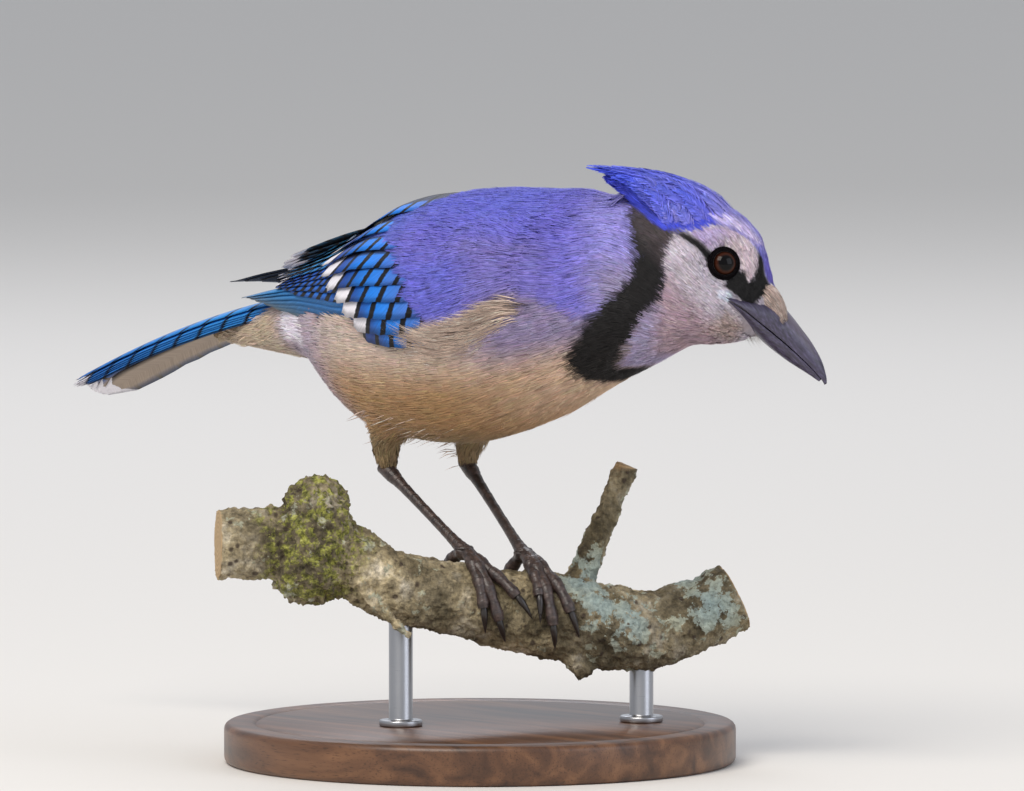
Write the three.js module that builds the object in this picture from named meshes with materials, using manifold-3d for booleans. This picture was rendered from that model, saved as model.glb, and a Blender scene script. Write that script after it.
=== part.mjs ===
// A life-size blue jay that grips a cut branch on a plain stand.
// Millimetres, +Z up, the trunk heads along +X, the bird's left is +Y, the base rests on z = 0.
import * as THREE from "three";
import { mergeVertices } from "three/addons/utils/BufferGeometryUtils.js";
import Module from "manifold-3d";

const wasm = await Module();
wasm.setup();

const GAP = 0.3;
const RIGHT = -1;
const LEFT = 1;
const at = (x, y, z) => new THREE.Vector3(x, y, z);
const degrees = THREE.MathUtils.degToRad;
const { lerp, smoothstep } = THREE.MathUtils;

// Driving sizes of the stand
const BASE_RADIUS = 64;
const BASE_HEIGHT = 10;
const BASE_BEVEL = 1.6;
const ROD_RADIUS = 3;

// Driving sizes of the head, whose frame looks along the bill
const HEAD_YAW = degrees(48);
const HEAD_PITCH = degrees(47);
const HEAD_ORIGIN = at(69.8, 17.8, 126.8);
const EYE_RADIUS = 4.7;
const EYE_SIDE = 8.7;
const EYE_AHEAD = -0.7;
const EYE_ABOVE = 0.6;
const BILL_REACH = 38.8;

// Driving sizes of the flight feathers
const VANE_THICK = 0.55;
const TAIL_ROOT = at(-44, 0, 117.3);
const TAIL_LENGTH = 107;
const TAIL_SLOPE = 0.1;
const TAIL_BEND = 0.0016;
const TAIL_SWING = degrees(2);

// Driving sizes of the legs
const TARSUS_RADIUS = 1.25;
const TOE_RADIUS = 1.75;

// Repeatable random numbers from 0 to 1
function randomFrom(seed) {
  let state = seed;
  return () => {
    state = (state * 1664525 + 1013904223) % 4294967296;
    return state / 4294967296;
  };
}

// A closed geometry as a solid that can be joined and cut
function solidOf(geometry) {
  const bare = new THREE.BufferGeometry();
  bare.setAttribute("position", geometry.getAttribute("position"));
  bare.setIndex(geometry.index);
  const merged = mergeVertices(bare, 1e-4);
  return new wasm.Manifold(
    new wasm.Mesh({
      numProp: 3,
      vertProperties: merged.getAttribute("position").array,
      triVerts: new Uint32Array(merged.index.array),
    }),
  );
}

// The largest closed surface of a solid, without loose scraps
function largest(body) {
  return body.decompose().reduce((a, b) => (b.volume() > a.volume() ? b : a));
}

// The solids of a list joined into one
function joined(bodies) {
  return bodies.reduce((a, b) => a.add(b));
}

// A curve through points, met at equal steps of its parameter
function through(points) {
  return new THREE.CatmullRomCurve3(points, false, "catmullrom", 0.5);
}

// The centre, axes and sizes of a lofted body at each parameter from 0 to 1
function loftFrame(sections) {
  const spine = through(sections.map((s) => s.centre));
  const sizes = through(sections.map((s) => at(s.wide, s.up, s.down)));
  return (t) => {
    const centre = spine.getPoint(t);
    const ahead = spine.getTangent(t);
    const side = at(0, 0, 1).cross(ahead).normalize();
    const above = ahead.clone().cross(side);
    const size = sizes.getPoint(t);
    return { centre, ahead, side, above, wide: size.x, up: size.y, down: size.z };
  };
}

// A closed body round a spine: elliptic above and below, grown evenly, and roughened where asked
function loft(sections, sides, steps, grow = 0, rough = () => 1) {
  const frameAt = loftFrame(sections);
  const tube = new THREE.CylinderGeometry(1, 1, 1, sides, steps);
  const place = tube.getAttribute("position");
  for (let i = 0; i < place.count; i++) {
    const t = place.getY(i) + 0.5;
    const f = frameAt(t);
    const across = place.getZ(i);
    const upward = place.getX(i);
    const swell = rough(t, Math.atan2(upward, across));
    const tall = (upward > 0 ? f.up : f.down) * swell + grow;
    const point = f.centre
      .addScaledVector(f.side, across * (f.wide * swell + grow))
      .addScaledVector(f.above, upward * tall)
      .addScaledVector(f.ahead, Math.sign(t - 0.5) * (t === 0 || t === 1 ? grow : 0));
    place.setXYZ(i, point.x, point.y, point.z);
  }
  return solidOf(tube);
}

// A thin closed sheet over a grid, both faces split alike; pointAt takes length, breadth and face
function slab(lengthSteps, breadthSteps, pointAt) {
  const across = breadthSteps + 1;
  const layer = (lengthSteps + 1) * across;
  const points = [];
  for (const face of [1, -1])
    for (let i = 0; i <= lengthSteps; i++)
      for (let j = 0; j <= breadthSteps; j++)
        points.push(...pointAt(i / lengthSteps, j / breadthSteps, face).toArray());
  const faces = [];
  const quad = (a, b, c, d) => faces.push(a, b, c, a, c, d);
  for (let i = 0; i < lengthSteps; i++)
    for (let j = 0; j < breadthSteps; j++) {
      const k = i * across + j;
      quad(k, k + across, k + across + 1, k + 1);
      const m = k + layer;
      faces.push(m, m + across + 1, m + across, m, m + 1, m + across + 1);
    }
  for (let i = 0; i < lengthSteps; i++) {
    const near = i * across;
    const far = near + breadthSteps;
    quad(near, near + layer, near + across + layer, near + across);
    quad(far, far + across, far + across + layer, far + layer);
  }
  for (let j = 0; j < breadthSteps; j++) {
    const last = lengthSteps * across + j;
    quad(j, j + 1, j + 1 + layer, j + layer);
    quad(last, last + layer, last + 1 + layer, last + 1);
  }
  const sheet = new THREE.BufferGeometry();
  sheet.setAttribute("position", new THREE.Float32BufferAttribute(points, 3));
  sheet.setIndex(faces);
  const body = solidOf(sheet);
  if (body.volume() > 0) return body;
  const turned = sheet.clone();
  for (let i = 0; i < faces.length; i += 3) {
    const second = faces[i + 1];
    faces[i + 1] = faces[i + 2];
    faces[i + 2] = second;
  }
  turned.setIndex(faces);
  return solidOf(turned);
}

// How wide a feather is along its length: narrow at the root, full, then a rounded tip
function leaf(t, tipWidth = 0.35) {
  const root = lerp(0.55, 1, Math.min(1, t / 0.3));
  const tip = t < 0.8 ? 1 : Math.sqrt(Math.max(0, 1 - ((t - 0.8) / 0.2) ** 2));
  return root * Math.max(tip, tipWidth);
}

// A feather vane along a path on a chart; each edge may ride over its neighbour by the tilt
function vane(chart, { root, tip, width, lift, tilt, steps = 5, thick = VANE_THICK, sag = 0 }) {
  return slab(steps, 1, (t, side, face) => {
    const u = lerp(root[0], tip[0], t);
    const v = lerp(root[1], tip[1], t) + sag * Math.sin(Math.PI * t);
    const { point, across, outward } = chart(u, v);
    const reach = (side - 0.5) * width * leaf(t);
    const high = lerp(lift[0], lift[1], Math.min(1, 3 * t)) + (face * thick * lerp(1, 0.6, t)) / 2;
    return point
      .addScaledVector(across, reach * Math.cos(tilt))
      .addScaledVector(outward, high + reach * Math.sin(tilt));
  });
}

// A chart of a curved surface from cross lines of three points: low edge, middle, top edge
function chartOf(lines, outSign) {
  const edges = [0, 1, 2].map((k) => through(lines.map((line) => line[k])));
  const middleLength = edges[1].getLength();
  const first = edges[1].getTangent(0);
  const past = edges[1].getTangent(1);
  const pointAt = (u, v) => {
    const [low, middle, top] = edges.map((edge) => edge.getPoint(Math.min(1, Math.max(0, u))));
    const beyond = Math.max(0, u - 1) * middleLength;
    const before = Math.min(0, u) * middleLength;
    return at(0, 0, 0)
      .addScaledVector(low, (1 - v) * (1 - 2 * v))
      .addScaledVector(middle, 4 * v * (1 - v))
      .addScaledVector(top, v * (2 * v - 1))
      .addScaledVector(past, beyond)
      .addScaledVector(first, before);
  };
  return (u, v) => {
    const d = 0.01;
    const point = pointAt(u, v);
    const along = pointAt(u + d, v).sub(pointAt(u - d, v)).normalize();
    const over = pointAt(u, v + d).sub(pointAt(u, v - d)).normalize();
    const outward = along.clone().cross(over).normalize().multiplyScalar(outSign);
    const across = outward.clone().cross(along).normalize().multiplyScalar(outSign);
    return { point, along, across, outward };
  };
}

// The trunk from under the tail to inside the head
const section = (x, y, z, wide, up, down) => ({ centre: at(x, y, z), wide, up, down });
const TRUNK = [
  section(-97, 0, 102.6, 5, 2.4, 2.2),
  section(-82, 0, 103.8, 9.5, 5.5, 4.8),
  section(-66, 0, 106.5, 13.5, 8.5, 9),
  section(-52, 0, 109, 18, 14, 14),
  section(-37, 0, 109.5, 23, 21.5, 27),
  section(-20, 0, 110, 28, 28.5, 31),
  section(-2, 0, 110.5, 30.5, 33, 31),
  section(16, 0, 111, 30.5, 34, 26.5),
  section(32, 0.8, 113, 28.5, 32.5, 21),
  section(47, 4, 116, 24.5, 30, 17.5),
  section(58, 9.5, 120, 20, 24.5, 15.5),
  section(65, 14.5, 122, 15, 17, 14),
];
const TRUNK_SIDES = 20;
const TRUNK_STEPS = 20;
const NECK_CUT = 0.757;
const trunk = (grow = 0) => loft(TRUNK, TRUNK_SIDES, TRUNK_STEPS, grow);

// A thin disc that parts the trunk across its spine
function trunkCut(t) {
  const f = loftFrame(TRUNK)(t);
  const disc = new THREE.CylinderGeometry(60, 60, GAP, 32);
  disc.applyQuaternion(new THREE.Quaternion().setFromUnitVectors(at(0, 1, 0), f.ahead));
  disc.translate(f.centre.x, f.centre.y, f.centre.z);
  return solidOf(disc);
}

// The head frame: x along the bill, y to the bird's left, z over the crown
const headMatrix = new THREE.Matrix4()
  .makeTranslation(HEAD_ORIGIN.x, HEAD_ORIGIN.y, HEAD_ORIGIN.z)
  .multiply(new THREE.Matrix4().makeRotationZ(HEAD_YAW))
  .multiply(new THREE.Matrix4().makeRotationY(HEAD_PITCH));
const inWorld = (body) => body.transform(headMatrix.toArray());

const SKULL = [
  section(-21, 0, -5, 6, 7, 7),
  section(-17, 0, -5, 10.5, 12, 12),
  section(-10, 0, -5, 13.2, 16.2, 15.5),
  section(-3, 0, -5, 14, 17.6, 17),
  section(4, 0, -5, 13, 16.6, 16),
  section(10, 0, -4, 10.6, 13.7, 12),
  section(15, 0, -2.5, 7.4, 9.3, 7.4),
  section(18.5, 0, -1.5, 4.6, 5.6, 4.6),
];
const skull = (grow = 0) => loft(SKULL, 20, 12, grow);

const BILL_UPPER = [
  section(8, 0, -3.9, 3.6, 7.2, 0.2),
  section(14, 0, -3, 4, 7.3, 0.2),
  section(19, 0, -2.4, 3.9, 6.5, 0.2),
  section(24, 0, -1.7, 3.4, 5.5, 0.2),
  section(29, 0, -1.4, 2.7, 4.4, 0.2),
  section(33.5, 0, -1.3, 1.9, 3.1, 0.2),
  section(37, 0, -1.4, 1, 1.5, 0.2),
  section(BILL_REACH, 0, -1.6, 0.35, 0.4, 0.3),
];
const BILL_LOWER = [
  section(8, 0, -4.6, 3.4, 0.2, 2.4),
  section(14, 0, -3.7, 3.7, 0.2, 2.6),
  section(19, 0, -3.1, 3.5, 0.2, 2.6),
  section(24, 0, -2.4, 3, 0.2, 2.7),
  section(29, 0, -2.1, 2.3, 0.2, 2.2),
  section(33.5, 0, -2, 1.5, 0.2, 1.2),
  section(36.8, 0, -2, 0.6, 0.1, 0.4),
];
const billUpper = (grow = 0) => loft(BILL_UPPER, 12, 9, grow);
const billLower = (grow = 0) => loft(BILL_LOWER, 12, 9, grow);

const eyeBall = (side, grow) => {
  const ball = new THREE.IcosahedronGeometry(EYE_RADIUS + grow, 2);
  ball.translate(EYE_AHEAD, side * EYE_SIDE, EYE_ABOVE);
  return solidOf(ball);
};

// The ring of the lids and the shallow orbit round it
function lidRing(side) {
  const ring = new THREE.TorusGeometry(3.75, 0.6, 4, 14);
  ring.rotateX(Math.PI / 2);
  ring.translate(EYE_AHEAD, side * (EYE_SIDE + 3.1), EYE_ABOVE);
  return solidOf(ring);
}
function orbit(side) {
  const dish = new THREE.CylinderGeometry(5.4, 3.7, 2.6, 14);
  if (side < 0) dish.rotateX(Math.PI);
  dish.translate(EYE_AHEAD, side * (EYE_SIDE + 4.3), EYE_ABOVE);
  return solidOf(dish);
}

// The crest as a tapering cone from the crown to its tip, and the vanes that lie on it
const CREST = [
  section(0, 0, -2, 11.5, 13.4, 4),
  section(-12, 0, -1.8, 10.4, 12.2, 4),
  section(-20, 0, -2.3, 7.8, 9.6, 4),
  section(-28, 0, -4, 5, 6.2, 3.4),
  section(-36, 0, -6.8, 2.6, 2.8, 2),
  section(-42, 0, -9.8, 1, 1, 1),
];
function crestChart() {
  const frameAt = loftFrame(CREST);
  return (u, angle) => {
    const pointAt = (t, a) => {
      const f = frameAt(Math.min(1, Math.max(0, t)));
      return f.centre
        .addScaledVector(f.side, -f.wide * Math.sin(a))
        .addScaledVector(f.above, f.up * Math.cos(a));
    };
    const d = 0.01;
    const point = pointAt(u, angle);
    const along = pointAt(u + d, angle).sub(pointAt(u - d, angle)).normalize();
    const over = pointAt(u, angle + d).sub(pointAt(u, angle - d)).normalize();
    const outward = over.clone().cross(along).normalize();
    if (outward.z * Math.cos(angle) + outward.y * Math.sin(angle) < 0) outward.negate();
    return { point, along, across: over, outward };
  };
}
const CREST_TIERS = [
  { count: 4, spread: 1.3, root: 0.36, tip: 0.98, fall: 0.14, width: 4.8, lift: [-2.2, -1] },
  { count: 5, spread: 1.6, root: 0.22, tip: 0.72, fall: 0.06, width: 6.6, lift: [-2, 0.2] },
  { count: 5, spread: 1.6, root: 0.04, tip: 0.46, fall: -0.05, width: 8.2, lift: [-1.8, 1.3] },
];
const CREST_TILT = degrees(15);
function crestVanes() {
  const chart = crestChart();
  const random = randomFrom(7);
  const vanes = [];
  for (const tier of CREST_TIERS)
    for (let i = 0; i < tier.count; i++) {
      const share = (2 * i) / (tier.count - 1) - 1;
      const angle = share * tier.spread;
      const root = tier.root + 0.17 * share * share;
      const tip = tier.tip - tier.fall * share * share - 0.04 * random();
      vanes.push(
        vane(chart, {
          root: [root, angle],
          tip: [tip, angle * 0.8],
          width: tier.width,
          lift: tier.lift,
          tilt: CREST_TILT,
          steps: 4,
          thick: 0.6,
        }),
      );
    }
  const core = CREST.slice(1, 4).map((s, i) => ({
    ...s,
    wide: s.wide - 1.6 - 0.5 * i,
    up: s.up - 1.6 - 0.5 * i,
  }));
  return { vanes, core: loft(core, 10, 3) };
}

// Bristle tufts over the nostrils
function nasalTufts() {
  return [RIGHT, LEFT].map((side) => {
    const tuft = [
      section(9, side * 4, 2, 3, 3.4, 3.2),
      section(13.5, side * 3.4, 1.8, 2.7, 3.6, 3),
      section(17, side * 3.1, 1.7, 2, 2.7, 2),
      section(19.5, side * 2.9, 1.5, 1.1, 1, 0.6),
    ];
    return loft(tuft, 7, 4);
  });
}

// The nostril pits, at the front of the tufts
function nostril(side) {
  const pit = new THREE.IcosahedronGeometry(1, 1);
  pit.scale(1.5, 0.8, 0.65);
  pit.translate(19.4, side * 3.6, 0.1);
  return solidOf(pit);
}

// The line of the mouth on the cheek, from its corner to the bill
const MOUTH = through([at(6, 12.2, -4.9), at(9, 11, -4.3), at(12, 9.4, -3.8), at(15, 7.2, -3.3)]);
function mouthLine(side) {
  return slab(4, 1, (t, s, face) => {
    const p = MOUTH.getPoint(t);
    return at(p.x, side * (p.y + lerp(-0.9, 1.6, s)), p.z + face * 0.25);
  });
}

function buildHead() {
  const { vanes, core } = crestVanes();
  const clear = trunk(GAP).transform(headMatrix.clone().invert().toArray());
  const crest = joined([core, ...vanes]).subtract(clear);
  let head = joined([skull(), ...nasalTufts()]);
  for (const side of [RIGHT, LEFT]) {
    head = head.subtract(orbit(side)).add(lidRing(side));
    head = head.subtract(eyeBall(side, GAP)).subtract(mouthLine(side));
  }
  head = head.subtract(billUpper(GAP)).subtract(billLower(GAP));
  return inWorld(largest(head.add(crest)));
}

// The tail as a roof of vanes: the middle pair on top, each outer one under the last
const TAIL_STACK = 0.8;
const TAIL_THICK = 0.5;
function tailPoint(length, breadth, lift) {
  const roof = 0.47 * (Math.hypot(breadth, 4) - 4);
  const fall = TAIL_SLOPE * length + TAIL_BEND * length * length;
  return at(-length, breadth, lift - roof - fall)
    .applyAxisAngle(at(0, 0, 1), TAIL_SWING)
    .add(TAIL_ROOT);
}
const RECTRICES = [
  { inner: -5, outer: 6.5, short: 0 },
  { inner: 0.8, outer: 7.8, short: 1.5 },
  { inner: 1.4, outer: 9, short: 4 },
  { inner: 2, outer: 10, short: 7.5 },
  { inner: 2.6, outer: 10.8, short: 11.5 },
  { inner: 3.2, outer: 11.4, short: 16 },
];
function rectrix(side, order) {
  const { inner, outer, short } = RECTRICES[order];
  const overlap = order === 0 && side > 0 ? 1 : 0;
  const stack = -TAIL_STACK * (order === 0 ? overlap : order + 1);
  return slab(5, order === 0 ? 2 : 1, (t, s, face) => {
    const flare = lerp(0.5, 1.08, t ** 0.8);
    const half = ((outer - inner) / 2) * leaf(t, 0.3);
    const breadth = side * flare * ((inner + outer) / 2 + (s * 2 - 1) * half);
    return tailPoint(t * (TAIL_LENGTH - short), breadth, stack + (face * TAIL_THICK) / 2);
  });
}
function buildTail() {
  const vanes = [];
  for (const side of [RIGHT, LEFT])
    for (let order = 0; order < RECTRICES.length; order++) vanes.push(rectrix(side, order));
  const root = [[0, 8], [7, 9], [16, 9], [24, 7]].map(([length, wide]) => ({
    centre: tailPoint(length, 0, -3.4),
    wide,
    up: 3.8,
    down: 4,
  }));
  return largest(joined([loft(root, 10, 3), ...vanes]));
}
// The space that the tail takes out of the trunk
const tailBed = () =>
  slab(6, 4, (t, s, face) => tailPoint(lerp(-1, 62, t), lerp(-21, 21, s), face > 0 ? 1.5 : -7.8));

// The folded wings: cross lines of low edge, middle and top edge from the wrist to the tip
const WING_FRONT = [
  [at(40, -26.5, 118), at(39, -25, 127), at(36, -16, 136)],
  [at(14, -30, 108), at(13, -28.5, 123), at(11, -13, 139)],
  [at(-16, -26.5, 108.5), at(-17, -25.5, 121), at(-19, -9, 134.5)],
];
const WING_REAR = {
  [RIGHT]: [
    [at(-46, -19, 112), at(-47, -16, 117.5), at(-50, -5.5, 121.5)],
    [at(-77, -12, 111.8), at(-78, -9.5, 112.6), at(-79, -6.5, 113)],
  ],
  [LEFT]: [
    [at(-46, 17, 113.5), at(-47, 11, 122), at(-51, -1, 127)],
    [at(-84, -1, 115.2), at(-85.5, -4, 116.2), at(-87, -7, 116.4)],
  ],
};
function wingChart(side) {
  const front = WING_FRONT.map((line) => line.map((p) => at(p.x, side * Math.abs(p.y), p.z)));
  return chartOf([...front, ...WING_REAR[side]], side);
}
// Each tier: roots and tips from its lowest feather to its highest, and the lift of those tips
const TIERS = {
  primaries: { count: 5, roots: [[0.5, 0.04], [0.5, 0.3]], tips: [[0.86, 0.06], [0.95, 0.62]],
    bow: 0.07, width: 5.4, lift: [-1.9, -0.3], tilt: 14, steps: 4 },
  secondaries: { count: 5, roots: [[0.49, 0.24], [0.49, 0.62]], tips: [[0.76, 0.3], [0.83, 0.64]],
    bow: 0, width: 5.5, lift: [0.4, 1.4], tilt: 16, steps: 4 },
  tertials: { count: 3, roots: [[0.5, 0.7], [0.5, 0.88]], tips: [[0.85, 0.7], [0.88, 0.9]],
    bow: 0, width: 7, lift: [2, 2.9], tilt: 14, steps: 4 },
  greaterCoverts: { count: 9, roots: [[0.28, 0.1], [0.28, 0.92]], tips: [[0.49, 0.12], [0.61, 0.9]],
    bow: 0, width: 4.8, lift: [1.8, 2.9], tilt: 16, steps: 3 },
  medianCoverts: { count: 7, roots: [[0.12, 0.16], [0.12, 0.9]], tips: [[0.36, 0.16], [0.43, 0.88]],
    bow: 0, width: 5.8, lift: [2.9, 4], tilt: 16, steps: 3 },
  primaryCoverts: { count: 2, roots: [[0.34, 0.02], [0.34, 0.09]], tips: [[0.56, 0.02], [0.6, 0.12]],
    bow: 0, width: 4, lift: [0.4, 1.1], tilt: 12, steps: 3 },
};
// How far the arm of the wing stands out of its chart
function armLift(u, v) {
  const shoulder = smoothstep(u, 0, 0.08) * (1 - smoothstep(u, 0.14, 0.3));
  return (0.8 + 2.4 * shoulder) * lerp(0.7, 1.1, v) * Math.sqrt(Math.max(0.04, 4 * v * (1 - v)));
}
function tierVanes(chart, tier) {
  const mix = ([from, to], share) => [lerp(from[0], to[0], share), lerp(from[1], to[1], share)];
  return Array.from({ length: tier.count }, (_, i) => {
    const share = i / (tier.count - 1);
    const root = mix(tier.roots, share);
    const tip = mix(tier.tips, share);
    tip[0] += tier.bow * Math.sin(Math.PI * share);
    const high = lerp(tier.lift[0], tier.lift[1], share);
    const sunk = Math.min(high, armLift(root[0], root[1]) - 1.2);
    return vane(chart, {
      root,
      tip,
      width: tier.width,
      lift: [sunk, high],
      tilt: -degrees(tier.tilt),
      steps: tier.steps,
    });
  });
}
function buildWing(side) {
  const chart = wingChart(side);
  const arm = slab(6, 5, (t, s, face) => {
    const u = lerp(0, 0.54, t);
    const { point, outward } = chart(u, s);
    return point.addScaledVector(outward, face > 0 ? armLift(u, s) : -3);
  });
  const wing = joined([arm, ...Object.values(TIERS).flatMap((tier) => tierVanes(chart, tier))]);
  return largest(side === LEFT ? wing : wing.subtract(crossedSpace()));
}
// The space of the left wing where it crosses over the right one
function crossedSpace() {
  const chart = wingChart(LEFT);
  return slab(6, 4, (t, s, face) => {
    const { point, outward } = chart(lerp(0.5, 1.06, t), lerp(-0.25, 1.3, s));
    return point.addScaledVector(outward, face > 0 ? 12 : -3.3);
  });
}
// The space that a wing takes out of the trunk
function wingBed(side) {
  const chart = wingChart(side);
  return slab(9, 5, (t, s, face) => {
    const { point, outward } = chart(lerp(-0.03, 1, t), lerp(-0.12, 1.12, s));
    return point.addScaledVector(outward, face > 0 ? 16 : -3.3);
  });
}

// The perch, along points on its middle line with its radius at each
const BRANCH = [
  [-31, -60, 56, 8.8],
  [-18, -41, 55.5, 8.6],
  [-11, -32, 50.5, 8.8],
  [-5, -22, 44.5, 9],
  [4.3, -7, 40.5, 9.3],
  [16, 12, 36.5, 11],
  [27, 30, 33, 10.3],
  [34, 40.5, 36, 9.2],
  [40, 50, 41.5, 9],
].map(([x, y, z, r]) => ({ centre: at(x, y, z), wide: r, up: r, down: r }));
const bark = (t, angle) =>
  1 + 0.03 * Math.sin(3 * angle + 19 * t) + 0.025 * Math.sin(5 * angle - 31 * t + 1);
const branch = (grow = 0) => loft(BRANCH, 14, 20, grow, bark);
const branchFrame = loftFrame(BRANCH);

// A burl that stands across the branch
const KNOB = [
  section(-18.2, -41.2, 41, 4, 4, 4),
  section(-18, -41, 45.5, 9.5, 9, 9),
  section(-17.4, -40.4, 53, 12, 10.6, 10.6),
  section(-17, -40, 61, 11.5, 9.8, 9.8),
  section(-16.6, -39.6, 68.5, 8, 7, 7),
  section(-16.4, -39.4, 72.6, 3, 3, 3),
];
const TWIG = [
  section(15.5, 17, 40, 4.8, 4.8, 4.8),
  section(17, 19, 46.5, 4, 4, 4),
  section(20, 22, 58, 3.3, 3.3, 3.3),
  section(24.6, 27.4, 74.5, 3.1, 3.1, 3.1),
];
const STUB_LEFT = [
  section(-8, -34, 47, 2, 2, 2),
  section(-3, -33, 42, 1.6, 1.6, 1.6),
  section(0.5, -29.5, 37, 1.4, 1.4, 1.4),
  section(3.4, -26, 32.8, 1.1, 1.1, 1.1),
];
const STUB_RIGHT = [
  section(17, 9, 33, 3.2, 3.2, 3.2),
  section(20.5, 11, 28.5, 2.9, 2.9, 2.9),
  section(23.8, 14.5, 22.4, 2.5, 2.5, 2.5),
];

// The legs: each from the flank to the toe joint
const LEGS = {
  right: { side: RIGHT, ankle: at(-25, -8.4, 71.9), foot: at(3.3, -8.2, 53.4), knee: at(-20, -11.5, 92) },
  left: { side: LEFT, ankle: at(-17.8, 12.2, 72.3), foot: at(9.1, 6.4, 52.4), knee: at(-13, 13.5, 92) },
};
const ankleSection = (p, r) => ({ centre: p.clone(), wide: r, up: r, down: r });
function thigh(leg, grow = 0) {
  const mid = leg.knee.clone().lerp(leg.ankle, 0.55).add(at(-1.5, 0, 0));
  return loft(
    [
      ankleSection(leg.knee, 7.5),
      ankleSection(mid, 4.8),
      ankleSection(leg.ankle.clone().add(at(-0.6, 0, 2.6)), 3.1),
      ankleSection(leg.ankle.clone().add(at(0.4, 0, -0.8)), 2.7),
    ],
    10,
    6,
    grow,
  );
}
function tarsus(leg, grow = 0) {
  const along = leg.foot.clone().sub(leg.ankle);
  const p = (t) => leg.ankle.clone().addScaledVector(along, t);
  return loft(
    [
      ankleSection(p(-0.03), 1.9),
      ankleSection(p(0.08), 1.75),
      ankleSection(p(0.3), TARSUS_RADIUS),
      ankleSection(p(0.7), TARSUS_RADIUS),
      ankleSection(p(0.96), 1.7),
    ],
    8,
    8,
    grow,
  );
}

// The toes wrap the branch: where each ends along it, and how far round it
const TOES = {
  right: [
    { name: "outer", along: 4.5, round: 92 },
    { name: "middle", along: 8, round: 104 },
    { name: "inner", along: 10.6, round: 70 },
    { name: "hind", along: -5, round: -88 },
  ],
  left: [
    { name: "outer", along: 2.2, round: 66 },
    { name: "middle", along: 5.5, round: 98 },
    { name: "inner", along: 8.5, round: 80 },
    { name: "hind", along: -4, round: -88 },
  ],
};
// The parameter of the branch nearest to a point
function nearestOnBranch(point) {
  let best = 0;
  for (let t = 0; t <= 1; t += 0.002)
    if (branchFrame(t).centre.distanceTo(point) < branchFrame(best).centre.distanceTo(point)) best = t;
  return best;
}
const BRANCH_LENGTH = through(BRANCH.map((s) => s.centre)).getLength();
function aroundBranch(start, along, round, off) {
  const f = branchFrame(start + along / BRANCH_LENGTH);
  const front = f.ahead.clone().cross(f.above);
  return f.centre
    .addScaledVector(f.above, Math.cos(round) * (f.up + off))
    .addScaledVector(front, Math.sin(round) * (f.wide + off));
}
function toePath(leg, toe) {
  const start = nearestOnBranch(leg.foot);
  const f = branchFrame(start);
  const front = f.ahead.clone().cross(f.above);
  const base = leg.foot.clone().sub(f.centre);
  const first = Math.atan2(base.dot(front), base.dot(f.above));
  const high = Math.hypot(base.dot(front), base.dot(f.above)) - f.up;
  return (t) => {
    const round = lerp(first, degrees(toe.round), t);
    const off = lerp(high, TOE_RADIUS * 0.8, Math.min(1, t * 2.5));
    return aroundBranch(start, toe.along * t, round, off);
  };
}
function toeBody(leg, toe, grow = 0) {
  const path = toePath(leg, toe);
  const knuckles = [1, 1.02, 0.86, 1, 0.82, 0.92, 0.74];
  return loft(
    knuckles.map((k, i) => ankleSection(path((i / 6) * 0.97), TOE_RADIUS * k)),
    6,
    7,
    grow,
  );
}
function clawBody(leg, toe) {
  const path = toePath(leg, toe);
  const start = path(1);
  const ahead = path(1.02).sub(path(0.98)).normalize();
  const span = toe.name === "hind" ? 7 : 5.6;
  const f = branchFrame(nearestOnBranch(start));
  const inward = f.centre.sub(start).projectOnPlane(f.ahead).normalize();
  const bend = (t) =>
    start
      .clone()
      .addScaledVector(ahead, t * span)
      .addScaledVector(inward, t * t * span * 0.28 - 0.2);
  return loft(
    [0, 0.35, 0.7, 1].map((t, i) => ankleSection(bend(t), [1.2, 1.05, 0.7, 0.25][i])),
    6,
    4,
  );
}
function buildFoot(leg, toes) {
  const joint = new THREE.IcosahedronGeometry(2.4, 1);
  joint.translate(leg.foot.x, leg.foot.y, leg.foot.z);
  const body = joined([solidOf(joint), ...toes.map((toe) => toeBody(leg, toe))]);
  return largest(body.subtract(branch(GAP)));
}
// The space that the foot takes out of its tarsus
function footSpace(leg, toes) {
  const joint = new THREE.IcosahedronGeometry(2.4 + GAP, 2);
  joint.translate(leg.foot.x, leg.foot.y, leg.foot.z);
  return joined([solidOf(joint), ...toes.map((toe) => toeBody(leg, toe, GAP))]);
}

// A turned disc with softened edges
function buildBase() {
  const r = BASE_RADIUS;
  const h = BASE_HEIGHT;
  const b = BASE_BEVEL;
  const profile = [
    [0, 0], [r - b, 0], [r, b], [r, h - b], [r - b, h], [0, h],
  ].map(([x, y]) => new THREE.Vector2(x, y));
  const disc = new THREE.LatheGeometry(profile, 48);
  disc.rotateX(Math.PI / 2);
  return solidOf(disc);
}
function buildRod(x, y, top) {
  const rod = new THREE.CylinderGeometry(ROD_RADIUS, ROD_RADIUS, top - BASE_HEIGHT - GAP, 20);
  rod.rotateX(Math.PI / 2);
  rod.translate(x, y, (top + BASE_HEIGHT + GAP) / 2);
  return largest(solidOf(rod).subtract(branch(GAP)));
}

const finish = {
  blue: { color: 0x5560b8, roughness: 0.75 },
  wing: { color: 0x2f6fc0, roughness: 0.65 },
  white: { color: 0xd8d2cc, roughness: 0.85 },
  bill: { color: 0x23232a, roughness: 0.4 },
  eye: { color: 0x1c100a, roughness: 0.05 },
  leg: { color: 0x2e2a30, roughness: 0.6 },
  bark: { color: 0x8a7f76, roughness: 0.95 },
  wood: { color: 0x6b4a33, roughness: 0.5 },
  metal: { color: 0x9a9a9e, roughness: 0.35, metalness: 1 },
};

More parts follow.
